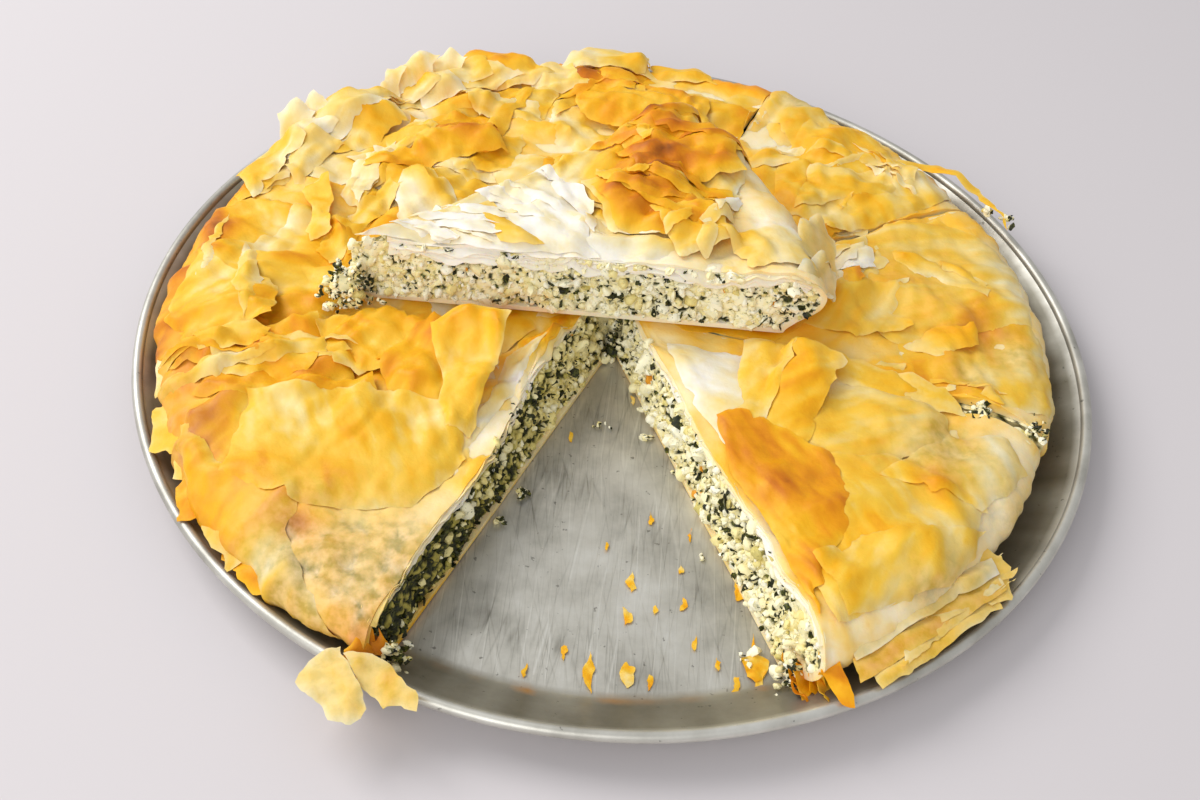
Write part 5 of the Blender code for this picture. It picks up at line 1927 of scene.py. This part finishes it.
@dataclass
class BakingTin:
    """The round aluminium tin with its floor, sloped wall and rolled rim."""

    finish: bpy.types.Material
    radius: float = 180.0
    floor_radius: float = 158.0
    height: float = 17.0
    sheet: float = 1.2
    bead: float = 2.0
    ovality: float = 0.012
    oval_axis: float = 150.0
    turns: int = 288

    def profile(self) -> Grid:
        """Half section of the tin, from near the middle of its floor round to its underside.

        Returns:
            Pairs of radius and height in mm.
        """
        bead_x, bead_z = self.radius - self.bead, self.height - self.bead
        floor = [(r, self.sheet) for r in np.linspace(2.0, self.floor_radius - 4.0, 40)]
        bend = [(self.floor_radius - 1.6, self.sheet + 0.25), (self.floor_radius, self.sheet + 1.2)]
        start, stop = np.array(bend[-1]), np.array([bead_x - self.bead * 0.97, bead_z - self.bead * 0.26])
        wall = [tuple(start + (stop - start) * share) for share in np.linspace(0.06, 0.97, 9)]
        angles = np.radians(195.0 - 300.0 * np.linspace(0.0, 1.0, 22))
        rim = [(bead_x + self.bead * math.cos(a), bead_z + self.bead * math.sin(a)) for a in angles]
        outside = [(bead_x - 2.2, bead_z - 1.9), (self.floor_radius + 1.4, 1.6),
                   (self.floor_radius - 0.4, 0.35), (self.floor_radius - 2.0, 0.0),
                   (self.floor_radius * 0.5, 0.0), (2.0, 0.0)]
        return np.array(floor + bend + wall + rim + outside)

    def build(self) -> None:
        """Turn the profile, press it out of round, mark what baked on and the worn floor, and paint shade on
        the wall.
        """
        profile = self.profile()
        angle = np.linspace(0.0, 2.0 * math.pi, self.turns, endpoint=False)[None, :]
        stretch = 1.0 + self.ovality * np.cos(2.0 * (angle - math.radians(self.oval_axis)))
        radius, level = profile[:, 0][:, None], profile[:, 1][:, None]
        dent = 0.15 * smooth_noise(np.cos(angle) * 6.0 + 20.0, np.sin(angle) * 6.0, 1.0, 5)
        dent = dent * ease(160.0, 180.0, radius)
        x, y = radius * stretch * np.cos(angle), radius * stretch * np.sin(angle)
        points = np.stack([x, y, level + dent], -1).reshape(-1, 3)
        points = np.concatenate([points, [(0.0, 0.0, self.sheet), (0.0, 0.0, 0.0)]])
        ring = np.arange(self.turns)
        following = (ring + 1) % self.turns
        faces = []
        for k in range(len(profile) - 1):
            a, b, c, d = (k * self.turns + ring, k * self.turns + following,
                          (k + 1) * self.turns + following, (k + 1) * self.turns + ring)
            faces += [np.stack([a, d, c], 1), np.stack([a, c, b], 1)]
        last = (len(profile) - 1) * self.turns
        top = np.full(self.turns, len(points) - 2)
        faces += [np.stack([ring, following, top], 1), np.stack([last + following, last + ring, top + 1], 1)]
        patchy = rough_noise(np.cos(angle) * 60.0, np.sin(angle) * 60.0, 4.0, 44, 4)
        foot = ease(2.4, 0.6, np.abs(radius - self.floor_radius)) * (level < 4.0) * (level > 0.5)
        marks = {"stain": foot * np.clip(0.1 + 1.1 * patchy, 0.0, 1.0),
                 "worn": ease(self.floor_radius, self.floor_radius - 8.0, radius) + 0.0 * angle,
                 # The wall's mark is painted shade and reflected pastry, darker on the wall and fading at the
                 # bead
                 "grime": 0.62 * ease(self.floor_radius - 5.0, self.floor_radius + 3.0, radius)
                 * ease(176.5, 173.5, radius) * (1.0 + 0.3 * patchy)}
        marks = {key: np.concatenate([np.broadcast_to(value, x.shape).ravel(), [0.0, 0.0]])
                 for key, value in marks.items()}
        piece = mesh_object("baking_tin", points, facing_out(points, np.concatenate(faces)), marks)
        adopt(piece, self.finish, "tin", "tin")


@dataclass
class FallenCrumbs:
    """Flakes that fell on the tin's floor, and bits of filling that fell there and round the cuts.

    A flake is its place and size. A heap is its place, height, reach, depth and number of bits.
    """

    pastry: bpy.types.Material
    filling: bpy.types.Material
    floor: float = 1.3
    sheet: float = 0.15
    flakes: tuple[Spot, ...] = (
        (9, -26, 3), (-13, -46, 2.5), (17, -83, 3), (31, -89, 3), (11, -110, 4), (10, -125, 5),
        (19, -121, 2.5), (29, -119, 3), (48, -112, 4), (-1, -147, 6), (11, -145, 5), (18, -150, 3),
        (47, -110, 3.5), (33, -133, 3), (52, -138, 8), (53, -149, 7), (46, -150, 5), (28, -104, 2),
        (-10, -140, 2.5), (-22, -148, 2.5), (2, -96, 1.8), (40, -141, 2.2))
    heaps: tuple[tuple[float, float, float, float, float, int], ...] = (
        (-30, -74, 1.6, 3.0, 3.0, 9), (14, -44, 1.6, 2.5, 2.0, 7), (-4, -40, 1.5, 4.0, 2.0, 5),
        (24, -60, 1.5, 2.0, 1.0, 3), (-36, -88, 1.5, 3.0, 2.0, 6), (35, -98, 1.5, 2.0, 1.0, 3),
        (48, -138, 1.5, 4.0, 1.5, 5), (-101, -11, 32.0, 8.0, 20.0, 130), (-95, -13, 32.0, 8.0, 20.0, 110),
        (151, 70, 27.0, 3.0, 3.0, 9), (160, 69, 24.0, 4.0, 3.0, 12), (133, -43, 28.0, 8.0, 1.8, 40),
        (151, -50, 25.5, 6.0, 1.8, 30), (0, 0, 2.0, 6.0, 26.0, 90), (-63, -152, 9.0, 6.0, 12.0, 50),
        (62, -148, 6.0, 6.0, 14.0, 50))

    def build(self) -> None:
        """Scatter the crumbs."""
        draw = np.random.default_rng(77)
        bundle = Bundle("fallen_flakes")
        for x, y, size in self.flakes:
            sides = int(draw.integers(5, 9))
            angles = draw.uniform(0.0, 6.28) + np.arange(sides) * 2.0 * math.pi / sides
            reach = size * draw.uniform(0.25, 1.15, sides)
            corners = np.stack([x + reach * np.cos(angles) * 0.5, y + reach * np.sin(angles) * 1.3], 1)
            self.flake(bundle, corners, draw)
        adopt(bundle.make(), self.pastry, "pastry")
        places = []
        for x, y, level, reach, tall, count in self.heaps:
            away = np.minimum(draw.gamma(1.5, 0.3, count), 1.2)
            turn = draw.uniform(0.0, 2.0 * math.pi, count)
            rise = level + draw.uniform(0.0, 1.0, count) * tall * np.clip(1.0 - 0.7 * away, 0.1, 1.0)
            spots = (x + reach * away * np.cos(turn), y + reach * away * np.sin(turn), rise)
            places.append(np.stack(spots, 1))
        places = np.concatenate(places)
        adopt(scatter_bits("fallen_curds", Crumb.CURD, places, draw, 0.85), self.filling, "filling")
        adopt(scatter_bits("fallen_leaves", Crumb.LEAF, places + (0.6, -0.6, 0.5), draw, 0.9), self.filling,
              "filling")

    def flake(self, bundle: Bundle, corners: Grid, draw: np.random.Generator) -> None:
        """Add one small dry flake that lies on the floor.

        Args:
            bundle: The mesh that the flake joins.
            corners: Its corners in order.
            draw: The seeded random numbers.
        """
        seed = int(draw.integers(0, 10000))
        plan, faces = filled(torn_outline(corners, 0.6, 0.8, seed), 0.8)
        height = self.floor + 0.1 + 0.7 * np.abs(rough_noise(plan[:, 0], plan[:, 1], 4.0, seed, 2))
        upper, lower = np.column_stack([plan, height + self.sheet]), np.column_stack([plan, height])
        bundle.add_sheet(upper, lower, faces,
                         0.54 + 0.2 * rough_noise(plan[:, 0], plan[:, 1], 3.0, seed + 3))


@dataclass
class Studio:
    """Pale floor, soft lights and the photograph's camera.

    The camera's distance and target are in mm, and a lamp is its name, place and width in metres, and
    power in watts.
    """

    floor_finish: bpy.types.Material
    floor_size_m: float = 8.0
    lens: float = 42.0
    sensor: float = 36.0
    elevation: float = 46.61
    distance: float = 535.1
    roll: float = 3.66
    target: Spot = (-3.5, -24.7, 0.0)
    sky: float = 0.55
    sky_colour: str = "#F5F7FA"
    lamps: tuple[tuple[str, Spot, float, float], ...] = (
        ("key_window", (-1.1, 0.55, 1.25), 1.1, 21.0), ("front_fill", (-0.6, -1.25, 0.95), 1.2, 12.5))

    def build(self) -> None:
        """Lay the floor, hang the lights and place the camera."""
        bpy.ops.mesh.primitive_plane_add(size=self.floor_size_m)
        floor = bpy.context.object
        floor.name = "studio_floor"
        floor.data.materials.append(self.floor_finish)
        self.lights()
        self.camera()

    def lights(self) -> None:
        """Set a pale sky and large soft lamps."""
        world = bpy.data.worlds.new("pale_room")
        bpy.context.scene.world = world
        world.use_nodes = True
        background = world.node_tree.nodes["Background"]
        background.inputs["Color"].default_value = linear(self.sky_colour)
        background.inputs["Strength"].default_value = self.sky
        for name, place, size, power in self.lamps:
            light = bpy.data.lights.new(name, "AREA")
            light.shape = "SQUARE"
            light.size = size
            light.energy = power
            lamp = link_object(name, light)
            lamp.location = place
            lamp.rotation_euler = (-Vector(place)).to_track_quat("-Z", "Y").to_euler()

    def camera(self) -> None:
        """Place the camera as in the photograph."""
        data = bpy.data.cameras.new("photo_camera")
        data.lens = self.lens
        data.sensor_width = self.sensor
        data.clip_start = 0.01
        camera = link_object("photo_camera", data)
        elevation = math.radians(self.elevation)
        back = Vector((0.0, -math.cos(elevation), math.sin(elevation))) * self.distance
        tilt = Matrix.Rotation(math.pi / 2.0 - elevation, 4, "X")
        roll = Matrix.Rotation(math.radians(self.roll), 4, "Z")
        camera.matrix_world = Matrix.Translation((Vector(self.target) + back) * MM) @ tilt @ roll
        bpy.context.scene.camera = camera
        bpy.context.scene.view_settings.view_transform = "Standard"


# Big sheets, middling sheets, scraps and frills of each slice
COVER_COUNTS = {
    "left": (26, 10, 0, 16),
    "front_right": (0, 0, 0, 0),
    "right": (2, 0, 1, 0),
    "back": (6, 3, 2, 0),
    "lifted": (3, 1, 3, 0),
}


def main() -> None:
    """Build every sub-assembly in order."""
    logging.basicConfig(level=logging.INFO, format="%(name)s %(message)s")
    phyllo = BakedPhyllo().material()
    filling = CurdFilling().material()
    Studio(StudioPaper().material()).build()
    BakingTin(ScratchedAluminium().material()).build()
    for form in SLICES:
        PastryShell(form, phyllo).build()
        SheetCover(form, phyllo, *COVER_COUNTS[form.name]).build()
        FillingBody(form, filling).build()
    FallenCrumbs(phyllo, filling).build()


if __name__ == "__main__":
    main()
